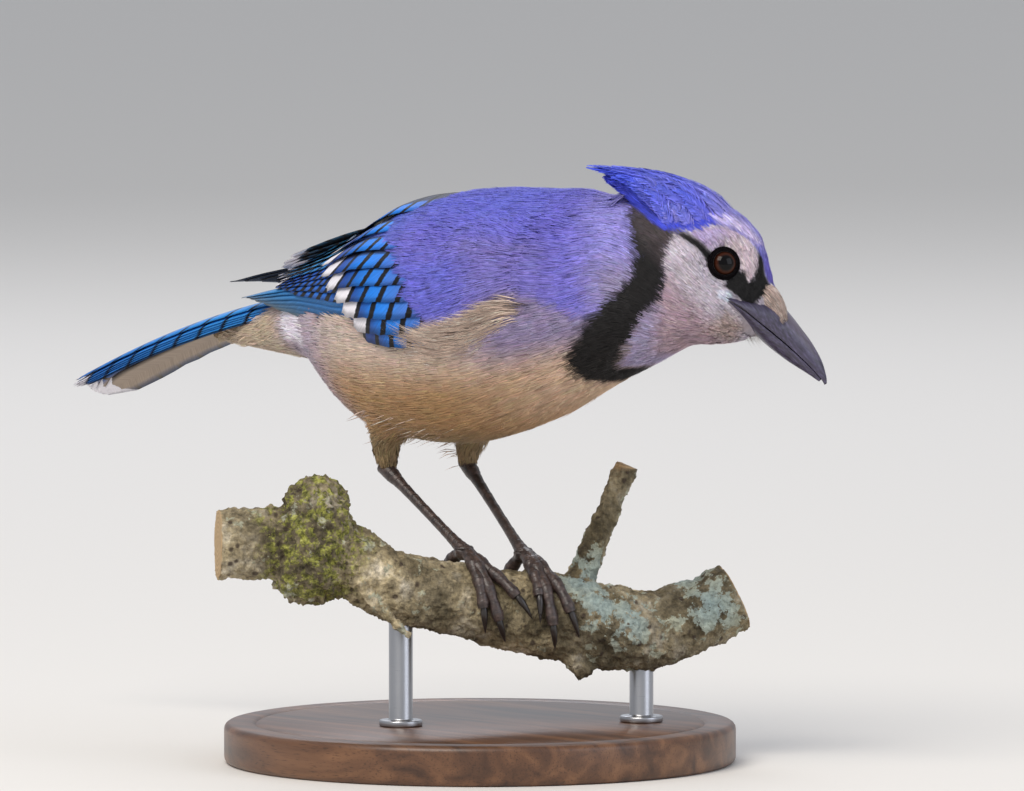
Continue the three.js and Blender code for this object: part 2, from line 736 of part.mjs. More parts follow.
const jay = new THREE.Group();
function addNode(name, body, look) {
  const { numProp, vertProperties, triVerts } = body.getMesh();
  const geometry = new THREE.BufferGeometry();
  const points = new Float32Array((vertProperties.length / numProp) * 3);
  for (let i = 0; i < points.length / 3; i++)
    points.set(vertProperties.subarray(i * numProp, i * numProp + 3), i * 3);
  geometry.setAttribute("position", new THREE.BufferAttribute(points, 3));
  geometry.setIndex(new THREE.BufferAttribute(triVerts, 1));
  const mesh = new THREE.Mesh(geometry, new THREE.MeshStandardMaterial(look));
  mesh.name = name;
  jay.add(mesh);
}

const thighs = Object.values(LEGS).map((leg) => thigh(leg, GAP));
let trunkBody = trunk().subtract(trunkCut(NECK_CUT)).subtract(inWorld(skull(GAP))).subtract(tailBed());
for (const side of [RIGHT, LEFT]) trunkBody = trunkBody.subtract(wingBed(side));
for (const space of thighs) trunkBody = trunkBody.subtract(space);
const middleX = (body) => {
  const box = body.boundingBox();
  return (box.min[0] + box.max[0]) / 2;
};
const tail = buildTail();
const halves = trunkBody.decompose().sort((a, b) => b.volume() - a.volume()).slice(0, 2);
halves.sort((a, b) => middleX(a) - middleX(b));
addNode("torso", halves[0], finish.white);
addNode("neck", halves[1], finish.blue);
addNode("head", buildHead(), finish.blue);
addNode("tail", tail, finish.wing);
for (const [name, side] of [["right", RIGHT], ["left", LEFT]]) {
  addNode("wing_" + name, buildWing(side), finish.wing);
  addNode("eye_" + name, inWorld(eyeBall(side, 0)), finish.eye);
}
const upper = billUpper().subtract(nostril(RIGHT)).subtract(nostril(LEFT));
addNode("bill_upper", inWorld(upper), finish.bill);
addNode("bill_lower", inWorld(billLower()), finish.bill);
for (const [name, leg] of Object.entries(LEGS)) {
  const space = footSpace(leg, TOES[name]);
  const shank = largest(tarsus(leg).subtract(space));
  addNode("thigh_" + name, largest(thigh(leg).subtract(tarsus(leg, GAP))), finish.white);
  addNode("tarsus_" + name, shank, finish.leg);
  addNode("foot_" + name, buildFoot(leg, TOES[name]), finish.leg);
  for (const toe of TOES[name]) {
    const claw = largest(clawBody(leg, toe).subtract(branch(GAP)).subtract(space));
    addNode("claw_" + name + "_" + toe.name, claw, finish.bill);
  }
}
addNode("perch_branch", branch().add(loft(KNOB, 12, 7)), finish.bark);
addNode("perch_twig", largest(loft(TWIG, 10, 6).subtract(branch(GAP))), finish.bark);
addNode("perch_stub_left", largest(loft(STUB_LEFT, 8, 5).subtract(branch(GAP))), finish.bark);
addNode("perch_stub_right", largest(loft(STUB_RIGHT, 8, 4).subtract(branch(GAP))), finish.bark);
addNode("stand_base", buildBase(), finish.wood);
addNode("stand_rod_left", buildRod(-5, -22, 40), finish.metal);
addNode("stand_rod_right", buildRod(27, 30, 30), finish.metal);

export default jay;
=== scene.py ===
import math
from functools import partial

import bpy
import numpy as np
from mathutils import Matrix, Vector, noise
from mathutils.bvhtree import BVHTree


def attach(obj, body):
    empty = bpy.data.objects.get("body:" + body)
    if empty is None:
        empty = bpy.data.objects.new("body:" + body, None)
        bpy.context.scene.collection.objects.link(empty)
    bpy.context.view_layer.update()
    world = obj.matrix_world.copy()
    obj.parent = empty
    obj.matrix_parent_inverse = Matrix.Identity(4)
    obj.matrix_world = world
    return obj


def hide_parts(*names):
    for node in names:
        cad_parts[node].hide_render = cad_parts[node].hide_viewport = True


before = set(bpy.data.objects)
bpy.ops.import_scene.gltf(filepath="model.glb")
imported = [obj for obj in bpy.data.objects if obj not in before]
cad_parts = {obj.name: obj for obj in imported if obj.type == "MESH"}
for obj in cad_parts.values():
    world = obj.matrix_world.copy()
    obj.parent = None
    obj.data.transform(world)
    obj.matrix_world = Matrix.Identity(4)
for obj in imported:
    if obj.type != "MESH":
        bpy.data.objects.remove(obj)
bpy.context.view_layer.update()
bpy.ops.object.select_all(action="DESELECT")
print("frame loaded")

# A life-size blue jay on a cut branch. Sizes are in millimetres and become metres when a mesh is made.
mm = 0.001
random = np.random.default_rng(11)


# sRGB hex to linear colour
def linear(code):
    parts = [int(code[i:i + 2], 16) / 255 for i in (1, 3, 5)]
    return tuple(c / 12.92 if c <= 0.04045 else ((c + 0.055) / 1.055) ** 2.4 for c in parts) + (1.0,)


def tone(code):
    return np.array(linear(code)[:3])


def tones(codes):
    return np.array([tone(code) for code in codes])


# Fills a node's inputs by number or name: a node or socket is linked, a hex colour is made linear
def feed(node, inputs):
    for name, value in inputs.items():
        if isinstance(value, bpy.types.Node):
            value = next(o for o in value.outputs if o.enabled)
        if isinstance(value, bpy.types.NodeSocket):
            node.id_data.links.new(value, node.inputs[name])
        else:
            node.inputs[name].default_value = linear(value) if isinstance(value, str) else value


# Adds a shader node; its values fill the inputs in their order, or a dictionary names them
def addNode(tree, kind, *values, stops=(), **settings):
    node = tree.nodes.new("ShaderNode" + kind)
    for name, value in settings.items():
        setattr(node, name, value)
    feed(node, values[0] if values and isinstance(values[0], dict) else dict(enumerate(values)))
    if stops:
        ramp = node.color_ramp.elements
        for place, code in stops:
            ramp.new(place).color = linear(code)
        ramp.remove(ramp[0])
        ramp.remove(ramp[-1])
    return node


mixing = {"data_type": "RGBA"}
multiplying = {"data_type": "RGBA", "blend_type": "MULTIPLY"}


# A material, the function that adds its nodes, and its shader with plain numbers on the sockets
def newMaterial(name, **sockets):
    material = bpy.data.materials.new(name)
    material.use_nodes = True
    material.node_tree.nodes.clear()
    add = partial(addNode, material.node_tree)
    shader = add("BsdfPrincipled", {key.replace("_", " "): value for key, value in sockets.items()})
    add("OutputMaterial", {"Surface": shader})
    return material, add, shader


# Vectors of a mesh's vertices or faces, one row each
def rowsOf(items, field):
    values = np.empty(len(items) * 3, np.float32)
    items.foreach_get(field, values)
    return values.reshape(-1, 3)


def movePoints(mesh, points):
    mesh.vertices.foreach_set("co", (points * mm).astype(np.float32).ravel())
    mesh.update()


# Gives each vertex a value under a name: a number, a vector or a colour
def paint(mesh, name, values):
    kinds = {1: ("FLOAT", "value"), 3: ("FLOAT_VECTOR", "vector"), 4: ("FLOAT_COLOR", "color")}
    kind, field = kinds[values.shape[1] if values.ndim > 1 else 1]
    layer = mesh.attributes.new(name, kind, "POINT")
    layer.data.foreach_set(field, values.astype(np.float32).ravel())


def withAlpha(colours):
    return np.concatenate([colours, np.ones((*colours.shape[:-1], 1))], -1)


# A mesh piece from points in millimetres and one or more arrays of faces
def makePiece(name, points, faces, material=None, smooth=True, attributes=None, uv=None):
    groups = faces if isinstance(faces, list) else [faces]
    corners = np.concatenate([g.ravel() for g in groups]).astype(np.int32)
    sizes = np.concatenate([np.full(len(g), g.shape[1]) for g in groups])
    mesh = bpy.data.meshes.new(name)
    mesh.vertices.add(len(points))
    mesh.vertices.foreach_set("co", (np.asarray(points) * mm).astype(np.float32).ravel())
    mesh.loops.add(len(corners))
    mesh.loops.foreach_set("vertex_index", corners)
    mesh.polygons.add(len(sizes))
    mesh.polygons.foreach_set("loop_start", np.concatenate([[0], np.cumsum(sizes)[:-1]]).astype(np.int32))
    mesh.update(calc_edges=True)
    mesh.polygons.foreach_set("use_smooth", np.full(len(sizes), smooth))
    for key, values in (attributes or {}).items():
        paint(mesh, key, values)
    if uv is not None:
        layer = mesh.uv_layers.new(name="OFBake")
        perCorner = uv if len(uv) == len(corners) else uv[corners]
        layer.data.foreach_set("uv", perCorner.astype(np.float32).ravel())
    piece = bpy.data.objects.new(name, mesh)
    bpy.context.scene.collection.objects.link(piece)
    if material:
        mesh.materials.append(material)
    return piece


def only(piece):
    bpy.ops.object.select_all(action="DESELECT")
    piece.select_set(True)
    bpy.context.view_layer.objects.active = piece


def applyModifier(piece, kind, **settings):
    only(piece)
    made = piece.modifiers.new(kind, kind)
    for key, value in settings.items():
        setattr(made, key, value)
    bpy.ops.object.modifier_apply(modifier=made.name)


# Puts a piece on the model: its body, and the solids that it stands for
def mount(piece, slot, *nodes):
    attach(piece, "root")
    if nodes:
        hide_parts(*nodes)


def smoothstep(x, low, high):
    s = np.clip((x - low) / (high - low), 0, 1)
    return s * s * (3 - 2 * s)


def unit(vectors):
    return vectors / np.maximum(np.linalg.norm(vectors, axis=-1, keepdims=True), 1e-9)


# A smooth curve through points, met at equal steps of its parameter
def through(points, t):
    p = np.asarray(points, float)
    p = np.vstack([2 * p[0] - p[1], p, 2 * p[-1] - p[-2]])
    x = np.clip(t, 0, 1) * (len(p) - 3)
    i = np.minimum(x.astype(int), len(p) - 4)
    w = (x - i)[..., None]
    a, b, c, d = p[i], p[i + 1], p[i + 2], p[i + 3]
    first, last = (c - a) / 2, (d - b) / 2
    return b + first * w + (3 * c - 3 * b - 2 * first - last) * w**2 + (2 * b - 2 * c + first + last) * w**3


# Centre, axes and sizes of a lofted body; a section is x, y, z, wide, up, down
def loftFrame(sections, t):
    t = np.atleast_1d(t).astype(float)
    here = through(sections, t)
    after, before = np.minimum(t + 1e-3, 1), np.maximum(t - 1e-3, 0)
    ahead = unit((through(sections, after) - through(sections, before))[:, :3])
    side = unit(np.cross([0, 0, 1.0], ahead))
    return here[:, :3], ahead, side, np.cross(ahead, side), here[:, 3:]


# A closed body round a spine, elliptic above and below
def loft(sections, rings, sides, grow=0.0, rough=None):
    t = np.linspace(0, 1, rings)
    centre, ahead, side, above, size = loftFrame(sections, t)
    turn = np.linspace(0, 2 * math.pi, sides, endpoint=False)
    swell = np.ones((rings, sides)) if rough is None else rough(t[:, None], turn[None])
    tall = np.where(np.sin(turn)[None] > 0, size[:, 1:2], size[:, 2:3]) * swell + grow
    wide = size[:, 0:1] * swell + grow
    across, upward = wide * np.cos(turn), tall * np.sin(turn)
    points = centre[:, None] + side[:, None] * across[..., None] + above[:, None] * upward[..., None]
    ends = centre[[0, -1]] + ahead[[0, -1]] * [[-grow * 0.5], [grow * 0.5]]
    i, j = np.meshgrid(np.arange(rings - 1), np.arange(sides), indexing="ij")
    a, b = (i * sides + j).ravel(), (i * sides + (j + 1) % sides).ravel()
    quads = np.stack([a, b, b + sides, a + sides], 1)
    k = np.arange(sides)
    last = (rings - 1) * sides
    caps = np.vstack([
        np.stack([(k + 1) % sides, k, np.full(sides, rings * sides)], 1),
        np.stack([last + k, last + (k + 1) % sides, np.full(sides, rings * sides + 1)], 1),
    ])
    return np.vstack([points.reshape(-1, 3), ends]), [quads, caps]


# Several closed bodies as one list of points and faces
def together(bodies):
    points, groups, start = [], {}, 0
    for place, faces in bodies:
        for g in faces:
            groups.setdefault(g.shape[1], []).append(g + start)
        points.append(place)
        start += len(place)
    return np.vstack(points), [np.vstack(g) for g in groups.values()]


# The bird's own coordinates
trunk = np.array([
    (-97, 0, 102.6, 5, 2.4, 2.2), (-82, 0, 103.8, 9.5, 5.5, 4.8), (-66, 0, 106.5, 13.5, 8.5, 9),
    (-52, 0, 109, 18, 14, 14), (-37, 0, 109.5, 23, 21.5, 27), (-20, 0, 110, 28, 28.5, 31),
    (-2, 0, 110.5, 30.5, 33, 31), (16, 0, 111, 30.5, 34, 26.5), (32, 0.8, 113, 28.5, 32.5, 21),
    (47, 4, 116, 24.5, 30, 17.5), (58, 9.5, 120, 20, 24.5, 15.5), (65, 14.5, 122, 15, 17, 14),
])
headOrigin = np.array([69.8, 17.8, 126.8])
headTurn = np.array(Matrix.Rotation(math.radians(48), 3, "Z") @ Matrix.Rotation(math.radians(47), 3, "Y"))


# Head frame: x along the bill, y to the bird's left, z over the crown
def fromHead(points):
    return headOrigin + np.asarray(points) @ headTurn.T


def toHead(points):
    return (points - headOrigin) @ headTurn


skull = np.array([
    (-21, 0, -5, 6, 7, 7), (-17, 0, -5, 10.5, 12, 12), (-10, 0, -5, 13.2, 16.2, 15.5),
    (-3, 0, -5, 14, 17.6, 17), (4, 0, -5, 13, 16.6, 16), (10, 0, -4, 10.6, 13.7, 12),
    (15, 0, -2.5, 7.4, 9.3, 7.4), (18.5, 0, -1.5, 4.6, 5.6, 4.6),
])
crest = np.array([
    (0, 0, -2, 11.5, 13.4, 4), (-12, 0, -1.8, 10.4, 12.2, 4), (-20, 0, -2.3, 7.8, 9.6, 4),
    (-28, 0, -4, 5, 6.2, 3.4), (-36, 0, -6.8, 2.6, 2.8, 2), (-42, 0, -9.8, 1, 1, 1),
])
eye = {
    "radius": 3.9, "ahead": -0.7, "side": 10.15, "above": 0.6, "sunk": 1.6, "gaze": (0.11, 1, 0.3),
    "lids": [(3.25, 0.4, 0.65), (3.72, 0.44, 0.2)],
}
spineSteps = np.linspace(0, 1, 161)
spine = loftFrame(trunk, spineSteps)


# Place along the trunk's spine from 0 to 1, the angle from the top in degrees, positive on the bird's
# right, and the number of the nearest step
def trunkPlace(points):
    nearest = np.empty(len(points), int)
    batch = 20000
    for k in range(0, len(points), batch):
        gap = ((points[k:k + batch, None] - spine[0][None]) ** 2).sum(2)
        nearest[k:k + batch] = gap.argmin(1)
    off = points - spine[0][nearest]
    right = -(off * spine[2][nearest]).sum(1)
    up = (off * spine[3][nearest]).sum(1)
    return spineSteps[nearest], np.degrees(np.arctan2(right, up)), nearest


wingFront = [
    [(40, 26.5, 118), (39, 25, 127), (36, 16, 136)],
    [(14, 30, 108), (13, 28.5, 123), (11, 13, 139)],
    [(-16, 26.5, 108.5), (-17, 25.5, 121), (-19, 9, 134.5)],
]
wingRear = {
    -1: [[(-46, -19, 112), (-47, -16, 117.5), (-50, -5.5, 121.5)],
         [(-77, -12, 111.8), (-78, -9.5, 112.6), (-79, -6.5, 113)]],
    1: [[(-46, 17, 113.5), (-47, 11, 122), (-51, -1, 127)],
        [(-84, -1, 115.2), (-85.5, -4, 116.2), (-87, -7, 116.4)]],
}


# A point on the folded wing: u from the wrist to the tip, v from the low edge to the top
def wingPoint(side, u, v):
    lines = [[(x, side * y, z) for x, y, z in line] for line in wingFront] + wingRear[side]
    edges = [np.array([line[k] for line in lines], float) for k in range(3)]
    held = np.clip(u, 0, 1)
    low, middle, top = [through(edge, held) for edge in edges]
    v = np.asarray(v, float)[..., None]
    first = unit(through(edges[1], np.array([0.01])) - through(edges[1], np.array([0.0])))
    past = unit(through(edges[1], np.array([1.0])) - through(edges[1], np.array([0.99])))
    beyond = np.asarray(u - held)[..., None] * 120
    curve = low * (1 - v) * (1 - 2 * v) + middle * 4 * v * (1 - v) + top * v * (2 * v - 1)
    return curve + np.where(beyond > 0, past, first) * beyond


# A point on the wing with the ways along it, across it and out of it
def wingFrame(side, u, v):
    d = 0.01
    point = wingPoint(side, u, v)
    along = unit(wingPoint(side, u + d, v) - wingPoint(side, u - d, v))
    over = unit(wingPoint(side, u, v + d) - wingPoint(side, u, v - d))
    outward = unit(np.cross(along, over)) * side
    return point, along, unit(np.cross(outward, along)) * side, outward


# How far the small coverts stand out from the wing's chart
def armLift(u, v):
    shoulder = smoothstep(u, 0, 0.08) * (1 - smoothstep(u, 0.14, 0.3))
    return (0.8 + 2.4 * shoulder) * (0.7 + 0.4 * v) * np.sqrt(np.maximum(0.04, 4 * v * (1 - v)))


# One skin under the coat
coatDepth = 1.3
skinSizes = {"voxel": 1.15, "smoothing": 8}
legs = {
    "right": {"ankle": (-25, -8.4, 71.9), "foot": (3.3, -8.2, 53.4), "knee": (-20, -11.5, 92)},
    "left": {"ankle": (-17.8, 12.2, 72.3), "foot": (9.1, 6.4, 52.4), "knee": (-13, 13.5, 92)},
}
legs = {name: {part: np.array(at, float) for part, at in leg.items()} for name, leg in legs.items()}


def tube(points, radii):
    return np.array([(*p, r, r, r) for p, r in zip(points, radii)], float)


def thighSections(leg):
    mid = leg["knee"] * 0.45 + leg["ankle"] * 0.55 + [-1.5, 0, 0]
    ends = [leg["ankle"] + [-0.6, 0, 2.6], leg["ankle"] + [0.4, 0, -0.8]]
    return tube([leg["knee"], mid, *ends], [7.5, 4.8, 3.1, 2.6])


# The arm of the wing as a closed sheet of grid points, outer face and inner face
def armSheet(side):
    u, v = np.meshgrid(np.linspace(-0.01, 0.38, 40), np.linspace(0.02, 1, 30), indexing="ij")
    point, along, across, outward = wingFrame(side, u.ravel(), v.ravel())
    outer = point + outward * (armLift(u, v).ravel() - coatDepth - 0.2)[:, None]
    inner = point - outward * 4.5
    rows, columns = u.shape
    i, j = np.meshgrid(np.arange(rows - 1), np.arange(columns - 1), indexing="ij")
    a = (i * columns + j).ravel()
    top = np.stack([a, a + columns, a + columns + 1, a + 1], 1)
    n = rows * columns
    rim = np.concatenate([np.arange(columns - 1), np.arange(rows - 1) * columns + columns - 1,
                          (rows - 1) * columns + np.arange(columns - 1, 0, -1),
                          np.arange(rows - 1, 0, -1) * columns])
    after = np.roll(rim, -1)
    wall = np.stack([rim, after, after + n, rim + n], 1)
    faces = [top, top[:, ::-1] + n, wall]
    return np.vstack([outer, inner]), [f if side > 0 else f[:, ::-1] for f in faces]


def headBody(sections, rings, sides, grow):
    points, faces = loft(sections, rings, sides, grow)
    return fromHead(points), faces


bodies = [
    loft(trunk, 90, 72, -coatDepth),
    headBody(skull, 40, 56, -coatDepth + 0.3),
    headBody(crest[:5], 40, 40, -coatDepth - 0.8),
    *[armSheet(side) for side in (-1, 1)],
    *[loft(thighSections(leg), 24, 24, -0.9) for leg in legs.values()],
]
skinPoints, skinFaces = together(bodies)
skin = makePiece("body_skin", skinPoints, skinFaces)
applyModifier(skin, "REMESH", mode="VOXEL", voxel_size=skinSizes["voxel"] * mm)
applyModifier(skin, "SMOOTH", factor=0.5, iterations=skinSizes["smoothing"])
skinCo = rowsOf(skin.data.vertices, "co") / mm

# The orbit: the skin dips round each eye so that the lids sit in it
headCo = toHead(skinCo)
for side in (-1, 1):
    ring = np.hypot(headCo[:, 0] - eye["ahead"], headCo[:, 2] - eye["above"])
    beside = (headCo[:, 1] * side > 4) & (ring < 9)
    dip = (1 - smoothstep(ring, 3.6, 7.5)) * 1.7
    headCo[:, 1] -= np.where(beside, side * dip, 0)
skinCo = fromHead(headCo)
movePoints(skin.data, skinCo)
skinTree = BVHTree.FromPolygons([tuple(p) for p in skinCo], [tuple(p.vertices) for p in skin.data.polygons])
print("skin", len(skinCo))


# Markings, painted in the trunk's and the head's own coordinates
plumage = {
    "back": "#6064cc", "nape": "#958ed4", "mantle": "#6f69c8", "rump": "#3f66bc", "shoulder": "#6768cc",
    "barEdge": "#4268c8", "scapularSheen": "#7b72b6", "breast": "#8b7fa2", "flank": "#cbb9ac",
    "belly": "#b99267", "vent": "#ae9fae", "chest": "#dabda4", "under": "#c4b296", "patch": "#ece6f2",
    "necklace": "#0f0c0d", "collar": "#473e41", "thigh": "#96805f", "napePale": "#8c8098",
    "crest": "#3f4acb", "crown": "#908cd2", "forehead": "#7065c2", "crownHighlight": "#d6c8ec",
    "cheek": "#c3bac6", "throat": "#b299a4", "brow": "#d0bfc8", "browRear": "#b4a3cc",
    "lore": "#0c0a0c", "spot": "#d3d6ea", "chin": "#b09c98", "throatEdge": "#a79fc4",
}
plumage = {key: tone(code) for key, code in plumage.items()}
browLine = [
    (-12.1, -0.6), (-11.4, 2.5), (-9.4, 4.4), (-7.1, 7.1), (-4.7, 8.6), (-1.3, 9.2), (1.6, 9),
    (4.3, 7.8), (5.9, 5.6), (7, 3.1), (6.5, 1.9), (4.6, 1.5), (2.6, 2.7), (0.2, 3.5), (-1.8, 2.8),
    (-3.6, 1.4), (-6, 0.5), (-8.9, 0.1),
]
loreLine = [
    (1.8, 2.6), (4.7, 1.7), (6.5, 1.9), (7, 3.1), (5.9, 5.6), (4.3, 7.8), (3, 9.2), (5, 8.6),
    (7.8, 6.3), (10.6, 5.3), (13.3, 6.2), (12.7, 3.9), (11.8, 1.3), (11.9, -1), (10.4, -2.3),
    (7.1, -2.4), (4.9, -2.2), (2.6, -1.9), (3.2, 0.7),
]
eyeStripe = [
    (-2, 1), (-5.8, -0.3), (-8.5, -0.2), (-11.2, -0.8), (-13.6, -1.7), (-15.3, -3.2), (-13.7, -2.8),
    (-11.2, -2.1), (-7.8, -1.5), (-5.3, -1.7), (-2.6, -2.9),
]
crownLine = np.array([
    (-45, -9.5), (-36, -8.9), (-29.1, -7.4), (-25.6, -6.2), (-19.6, -5.4), (-17.2, -4.5), (-14.9, -2.4),
    (-12.9, 0.1), (-11.5, 2.6), (-10.7, 4.3), (-8.8, 6.2), (-6.4, 7.7), (-1.3, 9.2), (1.6, 9.2),
    (5, 8.6), (7.8, 6.6), (10.6, 5.6), (13.3, 6.2), (16, 6),
])
gapeSpot = [(2.7, -5.1), (4.9, -2.8), (7, -3.2), (7.4, -4.5), (5.3, -5.7), (3.7, -6.1)]
loreInner = [(3, -3.2), (6.5, -2.6), (6, 2), (4, 3.4), (2.5, 1)]
# Outline of the paler band along the top of the crown, a painted highlight
crownHighlightArea = [(-13.4, 6), (-8.4, 9.8), (-3.3, 11.4), (3.3, 11), (0.6, 9.5), (-4.8, 8.6), (-9.3, 6.3)]
chinArea = [(8, -7), (15, -6), (15, -12), (8, -15)]
mouthSide = [
    (5.2, -4.9), (8, -3.2), (12, -1.2), (17, 0.4), (22, 2), (23, -6.6), (17, -6.6), (12, -5.7), (8, -5.3),
]


# How far points lie inside a closed outline, softened over a width
def within(profile, outline, soft):
    a = np.array(outline, float)
    b = np.roll(a, -1, 0)
    closest = np.full(len(profile), 1e9)
    odd = np.zeros(len(profile), bool)
    for p, q in zip(a, b):
        run = q - p
        share = np.clip(((profile - p) @ run) / (run @ run), 0, 1)
        closest = np.minimum(closest, np.linalg.norm(profile - p - share[:, None] * run, axis=1))
        crosses = (p[1] > profile[:, 1]) != (q[1] > profile[:, 1])
        level = p[0] + (profile[:, 1] - p[1]) * run[0] / (run[1] if run[1] else 1e-9)
        odd ^= crosses & (profile[:, 0] < level)
    return smoothstep(np.where(odd, closest, -closest), -soft, soft)


# The plumage colour at each point, linear RGB
def markings(points):
    t, phi, _ = trunkPlace(points)
    turn = np.abs(phi)
    head = toHead(points)
    ahead, above = head[:, 0], head[:, 2]
    profile = np.stack([ahead, above], 1)
    # The belly's colour is its own buff, made darker and warmer by painted shade and a painted reflection of
    # the ground
    colour = np.tile(plumage["belly"], (len(points), 1))

    def lay(name, share):
        nonlocal colour
        colour = colour + (plumage[name] - colour) * np.clip(share, 0, 1)[:, None]

    lay("flank", 1 - smoothstep(turn, 96, 132))
    lay("chest", smoothstep(t, 0.58, 0.78) * smoothstep(turn, 80, 120))
    lay("breast", smoothstep(t, 0.63, 0.73) * (1 - smoothstep(turn, 98, 126)))
    lay("vent", (1 - smoothstep(t, 0.3, 0.44)) * smoothstep(turn, 60, 80))
    blueEdge = np.interp(
        t, [0, 0.3, 0.42, 0.5, 0.65, 0.69, 0.72, 0.745, 0.775, 0.8, 0.82, 0.85, 1],
        [50, 56, 76, 88, 88, 86, 80, 75, 79, 88, 94, 97, 97],
    )
    blue = 1 - smoothstep(turn, blueEdge - 5, blueEdge + 4)
    lay("mantle", blue)
    lay("back", blue * (1 - smoothstep(turn, 20, 55)) * (1 - smoothstep(t, 0.7, 0.85)))
    # A pale lavender band over the scapulars is a painted sheen
    scapularSheenAlong = smoothstep(t, 0.62, 0.7) * (1 - smoothstep(t, 0.76, 0.82))
    lay("scapularSheen", blue * scapularSheenAlong * smoothstep(turn, 44, 56) * 0.7)
    lay("shoulder", blue * smoothstep(turn, 54, 66) * (1 - smoothstep(t, 0.66, 0.73)))
    lay("barEdge", blue * smoothstep(turn, 46, 70) * (1 - smoothstep(t, 0.5, 0.6)) * 0.55)
    lay("rump", blue * (1 - smoothstep(t, 0.4, 0.56)))
    lay("nape", blue * smoothstep(t, 0.8, 0.88) * 0.9)
    napeSide = smoothstep(turn, 46, 80) * (1 - smoothstep(turn, 100, 106))
    lay("napePale", smoothstep(t, 0.81, 0.87) * napeSide * 0.85)
    lay("under", (1 - smoothstep(t, 0.17, 0.25)) * smoothstep(turn, 62, 84) * 0.85)
    patchAlong = smoothstep(t, 0.21, 0.24) * (1 - smoothstep(t, 0.28, 0.31))
    lay("patch", patchAlong * smoothstep(turn, 72, 84) * (1 - smoothstep(turn, 104, 114)) * 0.9)
    low = points[:, 2] < 86
    lay("thigh", np.where(low & (t > 0.3) & (t < 0.75), smoothstep(86 - points[:, 2], 0, 8), 0))

    # the head, from the throat up
    onHead = 1 - smoothstep(np.linalg.norm(head - [-2, 0, -5], axis=1), 22, 26)
    onHead = np.maximum(onHead, smoothstep(ahead, -2, 4) * smoothstep(above, -40, -32))
    front = np.interp(-above, [0, 3.8, 8.3, 12.6, 17.6, 22], [-16, -14.7, -13.2, -8.6, -5.2, -4.6])
    face = onHead * smoothstep(ahead - front, -1, 1) * smoothstep(above, -26, -20)
    fore = np.interp(
        turn, [0, 50, 75, 85, 90, 100, 105, 112, 120, 130, 140, 150, 165, 180],
        [1.1, 1.1, 0.955, 0.948, 0.93, 0.908, 0.88, 0.87, 0.852, 0.842, 0.828, 0.825, 0.837, 0.84],
    )
    throat = smoothstep(t - fore, -0.01, 0.01) * smoothstep(turn, 60, 78)
    underFace = 1 - smoothstep(above, -22, -16)
    lay("throat", np.maximum(face, throat * underFace))
    lay("throatEdge", throat * (1 - smoothstep(t - fore, 0.02, 0.07)) * underFace * 0.8)
    lay("cheek", face * smoothstep(above, -15, -8))
    lay("chin", face * within(profile, chinArea, 2))

    # the black necklace
    rear = np.interp(
        turn, [0, 15, 35, 60, 75, 82, 90, 97, 105, 115, 120, 135, 150, 165, 180],
        [0.9, 0.9, 0.905, 0.905, 0.893, 0.868, 0.842, 0.826, 0.815, 0.793, 0.785, 0.775, 0.775, 0.78, 0.785],
    )
    rag = 0.008
    upper = smoothstep(above, -24, -17)
    behindFace, behindThroat = smoothstep(front - ahead, -0.8, 0.8), smoothstep(fore - t, -rag, rag)
    band = smoothstep(t - rear, -rag, rag) * (upper * behindFace + (1 - upper) * behindThroat)
    lay("necklace", band)
    lay("collar", band * smoothstep(above, -13, -8) * 0.8)

    # face and crown
    nearFace = face * (np.abs(head[:, 1]) > 2)
    brow = nearFace * within(profile, browLine, 0.5)
    lay("brow", brow)
    lay("browRear", brow * smoothstep(-ahead, 2, 9))
    lay("spot", nearFace * within(profile, gapeSpot, 0.5))
    lay("lore", nearFace * within(profile, loreLine, 0.35))
    lay("lore", nearFace * within(profile, eyeStripe, 0.4))
    lay("lore", nearFace * within(profile - [0, 0.55], eyeStripe, 0.5) * 0.85)
    orbit = np.hypot(ahead - eye["ahead"], above - eye["above"])
    lay("lore", nearFace * (1 - smoothstep(orbit, 3.6, 4.2)))
    lay("lore", nearFace * within(profile, loreInner, 0.4))
    overCrown = np.where(ahead < 18, smoothstep(above - np.interp(ahead, *crownLine.T), -0.5, 0.5), 0)
    fromSkull = np.linalg.norm(points - headOrigin, axis=1)
    overCrown = overCrown * np.where(t > 0.86, 1, 0) * smoothstep(fromSkull, 60, 50)
    lay("crest", overCrown)
    lay("crown", overCrown * smoothstep(above, 5, 11) * smoothstep(ahead, -26, -10))
    lay("forehead", overCrown * smoothstep(ahead, 2, 8))
    # the top of the crown is paled by a painted highlight
    lay("crownHighlight", overCrown * 0.8 * within(profile, crownHighlightArea, 0.8))
    return colour


# The skin's colours are darkened by a painted shade, the depth under the coat
downShade = 0.72
paint(skin.data, "tint", withAlpha(markings(skinCo) * downShade))

# Down next to the skin: soft, dull and shaded, so that the coat over it reads as deep
downMaterial, add, shader = newMaterial("feather_down", Roughness=0.95)
tintNode = add("Attribute", attribute_name="tint")
downNoise = add("TexNoise", {"Vector": add("TexCoord").outputs["Object"], "Scale": 900.0})
shade = add("MapRange", downNoise, 0.0, 1.0, 0.6, 1.15)
mixed = add("Mix", {0: 1.0, 6: tintNode, 7: shade}, **multiplying)
bump = add("Bump", {"Strength": 0.5, "Distance": 0.0003, "Height": downNoise})
feed(shader, {"Base Color": mixed, "Normal": bump})
skin.data.materials.clear()
skin.data.materials.append(downMaterial)
mount(skin, "body_plumage", "torso", "neck", "thigh_right", "thigh_left")
print("markings")


